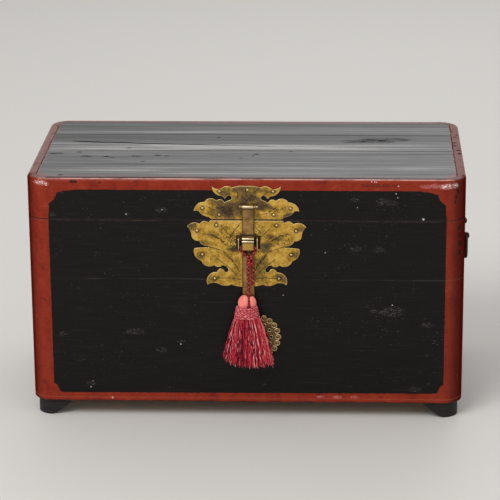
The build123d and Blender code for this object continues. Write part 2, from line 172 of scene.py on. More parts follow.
def spots(add, marks, face, stretch):
    # ragged marks on the top or the front, each with its place and radius in millimetres
    coordinates = add("TexCoord").outputs["Object"]
    ragged = patches(add, 2.6 * mm, Detail=3, Roughness=0.65)
    result = 0
    for across, along, radius in marks:
        if face == "top":
            centre, scale = (across * mm, along * mm, topZ), (1 / stretch, 1, 1)
        else:
            centre, scale = (across * mm, frontY, along * mm), (1 / stretch, 0, 1)
        offset = add("VectorMath", (coordinates, centre), "SUBTRACT")
        offset = add("VectorMath", (offset, scale), "MULTIPLY")
        away = add("VectorMath", (offset,), "LENGTH").outputs["Value"]
        away = add("Math", (away, 1 / (radius * mm), ragged), "MULTIPLY_ADD")
        spot = add("MapRange", (away, 1.35, 1))
        result = add("Math", (result, spot), "MAXIMUM")
    if face == "front":
        forward = add("MapRange", (axesOf(add)[1], 0, 0.5 * frontY))
        result = add("Math", (result, forward), "MULTIPLY")
    return result


lacquer = dict(
    blackTones=[(0.4, "#060504"), (0.55, "#0b0805"), (0.68, "#1b1715"), (0.85, "#36312c")],
    redTones=[(0.5, "#5c150a"), (0.72, "#862510"), (0.86, "#8b2c14"), (0.95, "#98391f")],
    flatRed="#54241c", redRubAndHighlight="#d29b90", redThinAndHighlight="#b46a50", redCornerShade="#4c0f07", undercoat="#20110d",
    # the pale fleck colour serves real specks and scratches and also painted highlight glints; the pink haze
    # colour is a painted sheen
    smear="#531c15", paintedSheen="#c4736d", dust="#9a938a", fleckAndGlint="#fbeee6", seamDark="#080606", seamPale="#7d6a62",
    lapped="#2b2a29", roughness=0.34, gloss=0.18,
    brushMark=2 * mm,  # width of a brush mark
    redClouds=26 * mm, redMottle=2.4 * mm,
    band=19.2 * mm, footBand=19.2 * mm,  # painted bands below the lid's top edge and above the feet
    cornerReach=46 * mm,  # how far a painted corner runs down from the band
    footReach=17 * mm, cornerScale=50 * mm,
    footSlope=0.0043,  # the foot's band runs a little thinner towards the left
    panelShift=2.6 * mm,  # how far the black panel is painted off the middle
    wobble=1.6 * mm, wobbleSize=7 * mm, paintBlur=0.3 * mm,  # the painted edge is uneven and slightly soft
    cloudSize=70 * mm, chipSize=5 * mm, dustSize=2.2 * mm, dustStrength=0.36,
    # painted shade: darker outer corners, from left to right over twice the span
    paintedCornerShade=[(0.0, 0.95), (0.019, 0.85), (0.028, 0.4), (0.037, 0), (0.05, 0), (0.07, 0.12), (0.12, 0),
             (0.88, 0), (0.935, 0.12), (0.953, 0.2), (0.962, 0.58), (0.971, 0.85), (1.0, 1)],
    cornerShadeSpan=390 * mm, cornerShadeDepth=(52 * mm, 34 * mm),
    dullEdge=10 * mm, outerDull=(14 * mm, 30 * mm),  # no gloss at the top's right end and on the outer posts
    seamDirt=1.1 * mm, arris=1.5 * mm, frontStrip=6.2 * mm,
    seamGaps=24 * mm, jointGaps=14 * mm, rubGaps=18 * mm, footGaps=6 * mm,  # how often these lines break up
    fleckSize=1.2 * mm, scratchSize=1.1 * mm, relief=0.6 * mm,
    lap=4.6 * mm, lapLine=4.8 * mm, lapHalf=347 * mm,  # the top's black laps over the joint, on to the wall
    jointLevel=257.5 * mm, jointReach=1.4 * mm,  # joint between the front's two boards
    # the paler line above the foot is thin paint with a painted highlight
    footChips=7 * mm, footLine=8 * mm,  # how high the foot edge is knocked, and the thin paint's level
    # nicks in the border on the top: across, back and radius, in millimetres
    topNicks=[(377, -25, 7), (375, -5, 6), (367, 48, 6), (366, 27, 5), (379, -115, 4), (371, 87, 4),
              (366, 125, 4), (376, 100, 4), (375, -67, 3), (-368, -19, 3), (-363, -33, 3), (-368, 103, 3),
              (-367, 157, 4), (-363, -122, 3), (-363, -161, 3), (-368, 56, 3)],
)
# the painted corner's edge: how far in it stands, from the band outwards
cornerEdge = [(0.0, 0.0), (0.06, 0.02), (0.30, 0.03), (0.45, 0.03), (0.62, 0.22), (0.66, 0.26),
              (0.80, 0.29), (0.87, 0.31), (0.94, 0.55), (1.0, 0.95)]
footEdge = [(0.0, 0.32), (0.08, 0.22), (0.3, 0.19), (0.5, 0.16), (0.85, 0.11), (0.95, 0.03), (1.0, 0.0)]
# marks on the front, the lowest first: tint, stretch across, strength, what breaks them up, and their places
# (across, height and radius, in millimetres)
frontMarks = [
    ("smear", 3, 0.6, "whole", [(206, 428, 4), (223, 428, 5), (241, 428, 5), (257, 428, 4)]),
    ("undercoat", 1.5, 0.95, "whole", [(-299, 433.4, 3.8), (-293, 433, 3.2), (-251, 431.4, 2.2),
                                       (-329, 404, 2.4)]),
    ("undercoat", 0.45, 0.9, "whole", [(362, 408, 6), (365, 418, 7), (361, 398, 5), (369, 352, 8),
                                       (369.5, 337, 6), (370, 322, 9), (370, 306, 8)]),
    ("fleckAndGlint", 2.2, 0.07, "scratched", [
        (-145, 383, 7), (-206, 375, 4), (189, 403, 5), (236, 400, 9), (252, 397, 7), (191, 314, 7),
        (231, 313, 6), (256, 200, 13), (240, 199, 8), (221, 201, 5), (316, 176, 7), (-191, 160, 8),
        (-204, 159, 6), (-149, 126, 7), (-115, 142, 5), (-276, 62, 6), (-335, 373, 4), (297, 55, 7),
        (-321, 155, 5)]),
    # a painted pink sheen on the top corners and along the foot's band
    ("paintedSheen", 3, 0.8, "hazy", [(-353, 430, 6), (310, 427, 5), (326, 428, 6), (342, 427, 7), (130, 40, 3.4),
                              (160, 39.5, 4), (190, 39.5, 3.4)]),
    # painted highlight glints on the rounded top corners, broken into flecks like flaked lacquer
    ("fleckAndGlint", 1.5, 0.95, "flecked", [(-358, 431.5, 5), (-351, 431, 5), (-343, 428, 3.4), (341, 427, 5),
                                     (350, 427.5, 7), (359, 428.5, 6.4), (306, 368, 3)]),
    ("fleckAndGlint", 1, 0.42, "whole", [
        (-238, 35, 2.6), (-206, 375, 1.6), (-144, 383, 1.4), (-276, 55, 1.6), (-272, 66, 1.2),
        (259, 414, 1.6), (262, 407, 1.4), (138, 307, 1.3), (65, 229, 1.3), (193, 389, 1.3), (255, 212, 1.6),
        (-115, 137, 1.6), (217, 435, 1.6), (222, 435.2, 1.6), (225, 434.6, 1.4), (263, 427.6, 2)]),
]


def lacqueredBoard(name, along):
    # aged urushi lacquer brushed on wood: a deep, slightly dull black in an uneven red border, bare inside
    material, add = newMaterial(name)
    axes = axesOf(add)
    run, half = (axes[0], postX) if along == "x" else (axes[1], postY)
    inset = add("Math", (run, lacquer["panelShift"]), "SUBTRACT")
    inset = add("Math", (inset,), "ABSOLUTE")
    inset = add("Math", (half, inset), "SUBTRACT")
    uneven = lacquer["wobble"]
    wobble = patches(add, lacquer["wobbleSize"], Detail=2)
    wobble = add("Math", (wobble, uneven, -uneven / 2), "MULTIPLY_ADD")
    height = add("Math", (axes[2], wobble), "ADD")
    bandZ, footBandZ, slope = topZ - lacquer["band"], footZ + lacquer["footBand"], lacquer["footSlope"]
    footHeight = add("Math", (axes[0], -slope, height), "MULTIPLY_ADD")
    footHeight = add("Math", (footHeight, slope * postX), "ADD")
    edges = []
    spans = ((height, bandZ - lacquer["cornerReach"], bandZ, cornerEdge),
             (footHeight, footBandZ, footBandZ + lacquer["footReach"], footEdge))
    for place, low, high, edge in spans:
        level = add("MapRange", (place, low, high))
        edges.append(add("ValToRGB", (level,), ramp=edge))
    footSide = add("Math", (footHeight, footBandZ + lacquer["footReach"]), "LESS_THAN")
    footCorner = add("Math", (edges[1], footSide), "MULTIPLY")
    edge = add("Math", (edges[0], footCorner), "MAXIMUM")
    edge = add("Math", (edge, lacquer["cornerScale"], wobble), "MULTIPLY_ADD")
    painted = add("Math", (edge, inset), "SUBTRACT")
    blur = lacquer["paintBlur"]
    redMask = add("MapRange", (painted, -blur, blur))
    for place, black, red in ((height, bandZ - blur, bandZ + blur),
                              (footHeight, footBandZ + blur, footBandZ - blur)):
        band = add("MapRange", (place, black, red))
        redMask = add("Math", (redMask, band), "MAXIMUM")
    red, chipped, dull = redPaint(add)
    stretch = (40, 1, 1) if along == "x" else (1, 40, 1)
    colour = graded(add, lacquer["blackTones"], lacquer["brushMark"], stretch, Detail=5, Roughness=0.65)
    colour = overlaid(add, colour, (redMask, red))
    chipped = add("Math", (chipped, redMask), "MULTIPLY")
    if along == "x":
        colour = handMarks(add, colour)
    colour, rough, relief = lacquerWear(add, colour)
    rough = add("Math", (chipped, 0.6, rough), "MULTIPLY_ADD")
    dull = add("Math", (chipped, dull), "MAXIMUM")
    gloss = add("Math", (dull, -lacquer["gloss"], lacquer["gloss"]), "MULTIPLY_ADD")
    relief = add("Math", (chipped, -0.5, relief), "MULTIPLY_ADD")
    if along == "x":
        colour, rough, gloss = frontLap(add, colour, rough, gloss)
    colour, rough = bareInside(add, colour, rough)
    return finishMaterial(material, bareRim(add, colour), rough, relief, lacquer["relief"], gloss=gloss)


def lacquerWear(add, colour):
    # dust over the paint, and the dirt in the seam; returns colour, roughness and height
    clouds = patches(add, lacquer["cloudSize"], Detail=4, Roughness=0.6)
    cloudy = add("ValToRGB", (clouds,), ramp=[(0.42, 0), (0.65, 1)])
    dust = graded(add, [(0.655, 0), (0.72, lacquer["dustStrength"])], lacquer["dustSize"], (2.5, 2.5, 1),
                  Detail=3, Roughness=0.7)
    dust = add("Math", (dust, cloudy), "MULTIPLY")
    colour = seamLine(add, overlaid(add, colour, (dust, lacquer["dust"])))
    rough = add("Math", (clouds, 0.2, lacquer["roughness"] - 0.1), "MULTIPLY_ADD")
    return colour, rough, clouds


def seamLine(add, colour):
    # dark where lid and box meet, rubbed pale on the edge just below
    height, reach = axesOf(add)[2], lacquer["seamDirt"]
    broken = graded(add, [(0.4, 0.1), (0.6, 1)], lacquer["seamGaps"], Detail=4)
    edge = stripe(add, height, seamZ - 2 * reach, 0.9 * reach, 0, 0.25)
    edge = add("Math", (edge, broken), "MULTIPLY")
    dirtAndShade = stripe(add, height, seamZ, reach)
    return overlaid(add, colour, (edge, lacquer["seamPale"]), (dirtAndShade, lacquer["seamDark"]))


def handMarks(add, colour):
    # the boards' joint, smears and chips to the undercoat, painted sheen and painted highlight glints broken
    # into flecks, and stray specks
    flecks = patches(add, lacquer["fleckSize"], (1.7, 1, 1), Detail=2, Roughness=0.6)
    broken = dict(
        whole=1,
        hazy=add("ValToRGB", (flecks,), ramp=[(0.38, 0.15), (0.6, 1)]),
        flecked=add("ValToRGB", (flecks,), ramp=[(0.48, 0.02), (0.54, 0.4), (0.59, 1)]),
        scratched=graded(add, [(0.53, 0), (0.6, 1)], lacquer["scratchSize"], (4, 1, 0.9), Detail=3,
                         Roughness=0.7),
    )
    joint = stripe(add, axesOf(add)[2], lacquer["jointLevel"], lacquer["jointReach"], 0.2, 0.07)
    gaps = graded(add, [(0.45, 0.05), (0.6, 1)], lacquer["jointGaps"], (6, 6, 1), Detail=4, Roughness=0.6)
    joint = add("Math", (joint, gaps), "MULTIPLY")
    colour = overlaid(add, colour, (joint, lacquer["dust"]))
    for tint, stretch, strength, kind, marks in frontMarks:
        mask = spots(add, marks, "front", stretch)
        for share in (broken[kind], strength):
            mask = add("Math", (mask, share), "MULTIPLY")
        colour = overlaid(add, colour, (mask, lacquer[tint]))
    return colour


def frontLap(add, colour, rough, gloss):
    # the black of the top laps over the panel's joint, and ends in a dark line on the front wall
    x, y, z = axesOf(add)
    half, lap, line = lacquer["lapHalf"], lacquer["lap"], lacquer["lapLine"]
    within = stripe(add, x, 0, half, 1 - 2 * mm / half)
    flat = add("MapRange", (z, topZ - 0.8 * mm, topZ - 0.3 * mm))
    within = add("Math", (within, flat), "MULTIPLY")
    # middle, reach, core, tint, roughness and gloss of the lap and of its line
    bands = ((panelLow.y - lap / 2, lap / 2 + 0.3 * mm, 0.9, lacquer["lapped"], 0.3, 0.45),
             (panelLow.y - lap - line / 2, 0.6 * line, 0.6, lidTop["bare"], 0.9, 0))
    for level, reach, core, tint, roughness, shine in bands:
        mask = stripe(add, y, level, reach, core)
        mask = add("Math", (mask, within), "MULTIPLY")
        colour = overlaid(add, colour, (mask, tint))
        rough = add("Mix", {0: mask, 2: rough, 3: roughness})
        gloss = add("Mix", {0: mask, 2: gloss, 3: shine})
    return colour, rough, gloss


def redPaint(add):
    # darker where it is thick, painted shade on the outer corners, brown on the flat of the top, chipped, and
    # rubbed along the edges with a painted highlight; returns the colour, the chips and where the paint has
    # no gloss
    x, y, z = axesOf(add)
    clouds = patches(add, lacquer["redClouds"], (1, 1, 1.6), Detail=6, Roughness=0.7)
    mottle = patches(add, lacquer["redMottle"], (4, 4, 1), Detail=4, Roughness=0.7)
    clouds = add("Math", (mottle, 0.5, clouds), "MULTIPLY_ADD")
    red = add("ValToRGB", (clouds,), ramp=lacquer["redTones"])
    # painted shade on the posts' outer rounded corners, darker on the right, fading in between the two depths
    # behind the front
    across = add("MapRange", (x, -lacquer["cornerShadeSpan"], lacquer["cornerShadeSpan"]))
    paintedCornerShade = add("ValToRGB", (across,), ramp=lacquer["paintedCornerShade"])
    clean, worn = lacquer["cornerShadeDepth"]
    near = add("MapRange", (y, frontY + clean, frontY + worn))
    paintedCornerShade = add("Math", (paintedCornerShade, near), "MULTIPLY")
    flat = add("MapRange", (z, topZ - 1.4 * mm, topZ - 0.4 * mm, 0, 0.9))
    chips = patches(add, lacquer["chipSize"], Detail=4, Roughness=0.7)
    chips = add("Math", (flat, 0.09, chips), "MULTIPLY_ADD")
    chipped = add("MapRange", (chips, 0.68, 0.72, 0, 0.85))
    nicks = spots(add, lacquer["topNicks"], "top", 1.3)
    nicks = add("Math", (nicks, flat), "MULTIPLY")
    chipped = add("Math", (chipped, nicks), "MAXIMUM")
    red = overlaid(add, red, (paintedCornerShade, lacquer["redCornerShade"]), (flat, lacquer["flatRed"]),
                   (chipped, lacquer["undercoat"]))
    red = overlaid(add, footEdgeWear(add, red), (topEdgeRubAndHighlight(add), lacquer["redRubAndHighlight"]))
    dull = add("MapRange", (x, postX - lacquer["dullEdge"], postX, 0, 0.75))
    dull = add("Math", (dull, flat), "MULTIPLY")
    outer = add("Math", (x,), "ABSOLUTE")
    outer = add("MapRange", (outer, *[postX + reach for reach in lacquer["outerDull"]]))
    outer = add("Math", (outer, near), "MULTIPLY")
    dull = add("Math", (dull, outer), "MAXIMUM")
    return red, chipped, dull


def topEdgeRubAndHighlight(add):
    # rubbed lacquer with a painted highlight in a thin bright line along the lid's front edge, and a fainter
    # one at the sides
    axes = axesOf(add)
    arris, strip = lacquer["arris"], lacquer["frontStrip"]
    rubbed = add("MapRange", (axes[2], topZ - arris, topZ - 0.3 * arris))
    front = add("MapRange", (axes[1], frontY + strip, frontY + 0.85 * strip, 0.12, 0.95))
    broken = graded(add, [(0.34, 0.25), (0.52, 0.95)], lacquer["rubGaps"], (2, 1, 1), Detail=5, Roughness=0.7)
    for share in (front, broken):
        rubbed = add("Math", (rubbed, share), "MULTIPLY")
    return rubbed


def footEdgeWear(add, colour):
    # the lower edge is knocked dark, with a paler line of thin paint above it, also a painted highlight
    level = add("Math", (axesOf(add)[2], footZ), "SUBTRACT")
    broken = patches(add, lacquer["footGaps"], (2.5, 2.5, 1), Detail=4, Roughness=0.65)
    reach = add("Math", (broken, -lacquer["footChips"], level), "MULTIPLY_ADD")
    dark = add("MapRange", (reach, -0.2 * mm, -1.4 * mm, 0, 0.8))
    line = stripe(add, level, lacquer["footLine"], 1.6 * mm, 0, 0.5)
    line = add("Math", (line, broken), "MULTIPLY")
    return overlaid(add, colour, (dark, lacquer["undercoat"]), (line, lacquer["redThinAndHighlight"]))


pine = dict(
    tones=[(0.3, "#7b5730"), (0.5, "#a9814f"), (0.62, "#94703f"), (0.75, "#a9814f")],
    rimTones=[(0.35, "#2e2018"), (0.6, "#5f432a"), (0.8, "#7b5730")],
    ringWidth=5 * mm, grain=1.2 * mm, rimGrain=3 * mm, relief=0.3 * mm,
    sawnRoughness=0.75, planedRoughness=0.72,
)


def bareInside(add, colour, rough):
    # bare pine on the inner faces of the walls
    axes = axesOf(add)
    depth = -1
    for side, inner in ((axes[0], innerX), (axes[1], innerY)):
        size = add("Math", (side,), "ABSOLUTE")
        size = add("Math", (size, inner), "SUBTRACT")
        depth = add("Math", (depth, size), "MAXIMUM")
    inside = add("MapRange", (depth, 0.9 * mm, 0.4 * mm))
    below = add("MapRange", (axes[2], topZ - 2 * mm, topZ - 4 * mm))
    inside = add("Math", (inside, below), "MULTIPLY")
    colour = overlaid(add, colour, (inside, pineColour(add)))
    return colour, add("Mix", {0: inside, 2: rough, 3: pine["sawnRoughness"]})


def pineColour(add):
    return graded(add, pine["tones"], pine["ringWidth"], (40, 1.4, 1), Detail=3, Roughness=0.55,
                  Distortion=0.4)


def bareRim(add, colour):
    # dry dark wood on the flat faces where lid and box meet
    flat = stripe(add, axesOf(add)[2], seamZ, 0.15 * mm)
    wood = graded(add, pine["rimTones"], pine["rimGrain"], (12, 12, 1), Detail=4)
    return overlaid(add, colour, (flat, wood))


def barePine():
    # planed pine, dry and matt, darkened with age
    material, add = newMaterial("planedPine")
    grain = patches(add, pine["grain"], (40, 1, 1), Detail=3)
    return finishMaterial(material, pineColour(add), pine["planedRoughness"], grain, pine["relief"])


lidTop = dict(
    tones=[(0.7, "#0c0b0a"), (0.86, "#292726"), (0.95, "#454342"), (1.0, "#84817e")],
    bare="#080605", cornerRed="#6a3a30",
    # paler and darker bands over the planks, from front to back: grain through the thin lacquer, with a
    # painted sheen in the pale band near the middle
    planks=[(0.06, 0.38), (0.19, 0.44), (0.25, 0.32), (0.42, 0.26), (0.48, 0.46), (0.505, 0.88),
            (0.555, 0.85), (0.59, 0.3), (0.65, 0.04), (0.74, 0.06), (0.8, 0.45), (0.84, 0.17), (0.94, 0.02),
            (1.0, 0.2)],
    bandDepth=0.4,
    sheenLimit=[(0.0, 0.4), (0.2, 0.5), (0.4, 0.9), (0.66, 0.8), (1.0, 0.36)],  # from left to right
    streak=5 * mm, broadStreak=19 * mm, bandGrain=9 * mm, knotGrain=3 * mm,  # widths of the grain's streaks
    relief=0.8 * mm,
    # dents and burns: across, back and radius, in millimetres
    dents=[(-219, 2, 3), (-305, -27, 3), (-253, -56, 3.6), (-242, -61, 2.6), (-163, -46, 3.4),
           (-146, -50, 2.6), (-186, -86, 2.2), (13, -37, 3), (7, -47, 2.2), (-13, -62, 1.8),
           (-321, -176, 2.6), (-353, -37, 2.6), (221, 64, 3.4), (237, 59, 4.4), (205, 54, 3), (74, -17, 2),
           (214, 70, 2.4), (-60, 78, 2.6)],
    knots=[(227, 60, 24), (261, 68, 18), (190, 54, 16), (-343, -36, 7), (-290, -54, 7), (-200, -51, 7)],
    crack=[(-329, 48), (-278, 42), (-222, 39), (-208, 35), (-142, 30), (-88, 27), (17, 19), (59, 15)],
    crackRise=60,  # the scale of the crack's rise in the ramp, in millimetres
    crackWidth=7 * mm, crackRagged=12 * mm, dirtGaps=14 * mm,
    grooveFront=0.8 * mm, grooveSide=1.3 * mm, joint=1.8 * mm,  # dirt along the panel's edges and joints
    # the border's red runs over the panel's front corners
    cornerAcross=22 * mm, cornerDeep=30 * mm, cornerRagged=7 * mm,
)


def topLacquer():
    # thin black lacquer on softwood planks: the grain stands through it in long glossy grey streaks
    material, add = newMaterial("blackLacquerOnPlanks")
    x, y, z = axesOf(add)
    streaks = patches(add, lidTop["streak"], (60, 1, 1), Detail=6, Roughness=0.72)
    streaks = add("Math", (streaks, 0.62, 0.17), "MULTIPLY_ADD")
    broad = patches(add, lidTop["broadStreak"], (24, 1, 1), Detail=4, Roughness=0.55)
    across = add("MapRange", (y, frontY, -frontY, -0.03, 0.97))
    grainy = patches(add, lidTop["bandGrain"], (40, 1, 1), Detail=4, Roughness=0.7)
    across = add("Math", (grainy, 0.06, across), "MULTIPLY_ADD")
    planks = add("ValToRGB", (across,), ramp=lidTop["planks"])
    # the painted sheen in the bands is held lower towards both ends
    along = add("MapRange", (x, -postX, postX))
    limit = add("ValToRGB", (along,), ramp=lidTop["sheenLimit"])
    planks = add("Math", (planks, limit), "MINIMUM")
    knots = spots(add, lidTop["knots"], "top", 2.2)
    grainy = graded(add, [(0.43, 0.1), (0.6, 1)], lidTop["knotGrain"], (9, 1, 1), Detail=5, Roughness=0.7)
    knots = add("Math", (knots, grainy), "MULTIPLY")
    tone = streaks
    for layer, weight in ((broad, 0.5), (planks, lidTop["bandDepth"]), (knots, -0.24)):
        tone = add("Math", (layer, weight, tone), "MULTIPLY_ADD")
    mark = spots(add, lidTop["dents"], "top", 2.4)
    mark = add("Math", (mark, topDirt(add)), "MAXIMUM")
    corner = cornerPaint(add)
    under = add("MapRange", (z, topZ - 1.2 * mm, topZ - 2 * mm))
    colour = add("ValToRGB", (tone,), ramp=lidTop["tones"])
    colour = overlaid(add, colour, (mark, lidTop["bare"]), (corner, lidTop["cornerRed"]),
                      (under, pineColour(add)))
    rough = add("MapRange", (tone, 0.7, 1.1, 0.42, 0.22))
    rough = add("Math", (knots, 0.25, rough), "MULTIPLY_ADD")
    for mask, value in ((mark, 0.95), (under, pine["sawnRoughness"])):
        rough = add("Mix", {0: mask, 2: rough, 3: value})
    matt = add("Math", (knots, 0.5), "MULTIPLY")
    matt = add("Math", (mark, matt), "MAXIMUM")
    matt = add("Math", (corner, 0.5, matt), "MULTIPLY_ADD", use_clamp=True)
    gloss = add("MapRange", (tone, 0.75, 1, 0.3, 0.5))
    gloss = add("Mix", {0: matt, 2: gloss, 3: 0})
    relief = add("Math", (streaks, 0.35, broad), "MULTIPLY_ADD")
    relief = add("Math", (mark, -0.6, relief), "MULTIPLY_ADD")
    return finishMaterial(material, colour, rough, relief, lidTop["relief"], gloss=gloss)


def cornerPaint(add):
    # thin red over the panel's two front corners
    x, y = axesOf(add)[:2]
    across = add("Math", (x,), "ABSOLUTE")
    across = add("MapRange", (across, panelHigh.x - lidTop["cornerAcross"], panelHigh.x))
    deep = add("MapRange", (y, panelLow.y + lidTop["cornerDeep"], panelLow.y))
    both = add("Math", (across, deep), "ADD")
    ragged = patches(add, lidTop["cornerRagged"], Detail=4, Roughness=0.65)
    both = add("Math", (ragged, 0.5, both), "MULTIPLY_ADD")
    return add("MapRange", (both, 1.05, 1.2, 0, 0.85))


def topDirt(add):
    # the drying crack, painted wider than the gap to take in its shadow, and the dirt in the joints and round
    # the panel
    x, y = axesOf(add)[:2]
    ragged = patches(add, lidTop["crackRagged"], (3, 1, 1), Detail=3)
    ragged = add("Math", (ragged, 2.4 * mm, -1.2 * mm), "MULTIPLY_ADD")
    first, last, rise = lidTop["crack"][0][0], lidTop["crack"][-1][0], lidTop["crackRise"]
    along = add("MapRange", (x, first * mm, last * mm))
    line = [((across - first) / (last - first), back / rise) for across, back in lidTop["crack"]]
    middle = add("ValToRGB", (along,), ramp=line)
    middle = add("Math", (middle, rise * mm, ragged), "MULTIPLY_ADD")
    away = add("Math", (y, middle), "SUBTRACT")
    width = add("MapRange", (along, 0.1, 1, 1, 0.3))
    away = add("Math", (away, width), "DIVIDE")
    dirtAndShade = stripe(add, away, 0, 0.5 * lidTop["crackWidth"], 0.6)
    for end, full in ((0, 0.05), (1, 0.9)):
        fade = add("MapRange", (along, end, full))
        dirtAndShade = add("Math", (dirtAndShade, fade), "MULTIPLY")
    shifted = add("Math", (y, ragged), "ADD")
    gaps = graded(add, [(0.46, 0), (0.54, 1)], lidTop["dirtGaps"], Detail=4)
    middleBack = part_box("lid_plank_middle")[1].y
    lines = ((shifted, panelLow.y, "grooveFront", 1), (shifted, panelHigh.y, "joint", 0.5),
             (shifted, middleBack, "joint", 0.4), (x, panelLow.x, "grooveSide", 0.9),
             (x, panelHigh.x, "grooveSide", 0.9))
    for place, level, kind, strength in lines:
        near = stripe(add, place, level, lidTop[kind], 0.8, strength)
        if kind == "grooveSide":
            near = add("Math", (near, gaps), "MULTIPLY")
        dirtAndShade = add("Math", (dirtAndShade, near), "MAXIMUM")
    return dirtAndShade


brass = dict(
    tones=[(0.42, "#dab358"), (0.52, "#be9338"), (0.63, "#866c30"), (0.76, "#645038"), (0.92, "#42331f")],
    dirtAndShade="#1d130c", edge="#dcc08a", roughness=0.36, metallic=0.85,
    patinaSize=13 * mm, tintSize=5 * mm, veinWidth=1.25 * mm, relief=0.4 * mm, hammered=0.5 * mm,
    pitSize=2 * mm,  # drawn coarser than real, so that the pits show
)


def agedBrass(name, gold, brown, roughness, patina):
    # cast and filed brass, handled for years: brown in the hollows, warm and satin where it is rubbed
    material, add = newMaterial(name)
    clouds = patches(add, brass["patinaSize"], Detail=6, Roughness=0.68)
    mask = add("ValToRGB", (clouds,), ramp=[(patina, 0), (patina + 0.25, 0.8)])
    rough = add("Math", (clouds, 0.3, roughness - 0.1), "MULTIPLY_ADD")
    colour = overlaid(add, linear(gold), (mask, brown))
    return finishMaterial(material, colour, rough, clouds, brass["relief"], brass["metallic"])


def plateSheetBrass():
    # hand-hammered sheet brass: rubbed gold, brown tarnish, black dirt in the pits and engraved veins, and
    # painted shade round the eye block
    material, add = newMaterial("hammeredSheetBrass")
    painted = {name: add("Attribute", attribute_name=name).outputs["Fac"]
               for name in ("tarnish", "pitted", "dirtAndShade", "rubbed", "veinSide", "veinNear")}
    clouds = patches(add, brass["patinaSize"], Detail=6, Roughness=0.7)
    tint = patches(add, brass["tintSize"], Detail=4, Roughness=0.6)
    amount = add("Math", (painted["tarnish"], 0.46, clouds), "MULTIPLY_ADD")
    amount = add("Math", (tint, 0.35, amount), "MULTIPLY_ADD")
    amount = add("Math", (amount, 0.75), "MULTIPLY")
    colour = add("ValToRGB", (amount,), ramp=brass["tones"])
    rubbed = add("ValToRGB", (tint,), ramp=[(0.36, 0.3), (0.5, 1)])
    rubbed = add("Math", (rubbed, painted["rubbed"]), "MULTIPLY")
    pits = patches(add, brass["pitSize"], Detail=2, Roughness=0.55)
    pits = add("Math", (painted["pitted"], 0.17, pits), "MULTIPLY_ADD")
    dark = add("MapRange", (pits, 0.66, 0.7))
    vein = add("Math", (painted["veinSide"],), "ABSOLUTE")
    vein = add("MapRange", (vein, 0.75 * brass["veinWidth"], 0.35 * brass["veinWidth"]))
    near = add("MapRange", (painted["veinNear"], 0.35, 0.6))
    broken = add("ValToRGB", (tint,), ramp=[(0.34, 0.3), (0.5, 1)])
    for share in (near, broken):
        vein = add("Math", (vein, share), "MULTIPLY")
    # the dirt attribute also carries the painted shade round the eye block
    for mask in (vein, painted["dirtAndShade"]):
        dark = add("Math", (dark, mask), "MAXIMUM")
    dark = add("Math", (dark, 0.9), "MULTIPLY")
    colour = overlaid(add, colour, (rubbed, brass["edge"]), (dark, brass["dirtAndShade"]))
    rough = add("Math", (clouds, 0.35, brass["roughness"] - 0.12), "MULTIPLY_ADD")
    rough = add("Math", (dark, 0.3, rough), "MULTIPLY_ADD")
    metal = add("Math", (dark, -0.6, brass["metallic"]), "MULTIPLY_ADD")
    relief = add("Math", (dark, -0.5, clouds), "MULTIPLY_ADD")
    return finishMaterial(material, colour, rough, relief, brass["hammered"], metal)


def strapBrass():
    # forged brass strap, brown and brushed smooth, with painted shade along its edges, painted shadows under
    # the barrel, round the beads and under the eye block, a painted highlight on the barrel, and rubbed
    # bright on the block
    material, add = newMaterial("brushedBrownBrass")
    axes = axesOf(add)
    brushed = patches(add, hasp["grain"], (9, 9, 1), Detail=4)
    colour = graded(add, hasp["tones"], hasp["patinaSize"], Detail=5, Roughness=0.6)
    faint = add("MapRange", (brushed, 0.35, 0.7, 0, 0.3))
    colour = overlaid(add, colour, (faint, hasp["dark"]))
    # painted shade: darker towards both edges of the strap
    shaded = add("Math", (axes[0], hasp["x"]), "SUBTRACT")
    shaded = add("Math", (shaded,), "ABSOLUTE")
    shaded = add("MapRange", (shaded, 0.72 * hasp["halfWidth"], hasp["halfWidth"], 0, 0.85))
    for level, reach, tint in hasp["highlightAndRubBands"]:
        colour = overlaid(add, colour, (stripe(add, axes[2], level, reach, 0.5, 0.85), tint))
    for level, reach, strength in hasp["shadowBands"]:
        band = stripe(add, axes[2], level, reach, 0.4, strength)
        shaded = add("Math", (shaded, band), "MAXIMUM")
    rough = add("Math", (brushed, 0.2, 0.28), "MULTIPLY_ADD")
    colour = overlaid(add, colour, (shaded, hasp["edge"]))
    return finishMaterial(material, colour, rough, brushed, hasp["relief"], brass["metallic"])


def earBrass():
    # thin brass ears, rubbed bright on their front edges with a painted highlight, and dark where they meet
    # the plate with patina and painted shade
    material, add = newMaterial("rubbedAndShadedEarBrass")
    depth = add("Math", (axesOf(add)[1], frontY), "SUBTRACT")
    clouds = patches(add, hasp["earPatina"], Detail=4)
    depth = add("Math", (clouds, hasp["earRagged"], depth), "MULTIPLY_ADD")
    depth = add("MapRange", (depth, 0, -hasp["earDepth"]))
    colour = add("ValToRGB", (depth,), ramp=hasp["earTones"])
    return finishMaterial(material, colour, hasp["earRoughness"], clouds, hasp["earRelief"],
                          brass["metallic"])


foot = dict(
    tones=[(0.3, "#141312"), (0.65, "#211f1d"), (0.9, "#413c37")],
    grain=1.6 * mm, relief=0.4 * mm, roughness=0.6, gloss=0.25,
)


def stainedFoot():
    # hardwood foot, stained near black: dry, with a paler open grain
    material, add = newMaterial("stainedHardwood")
    grain = patches(add, foot["grain"], (14, 14, 1), Detail=4)
    colour = add("ValToRGB", (grain,), ramp=foot["tones"])
    return finishMaterial(material, colour, foot["roughness"], grain, foot["relief"], gloss=foot["gloss"])


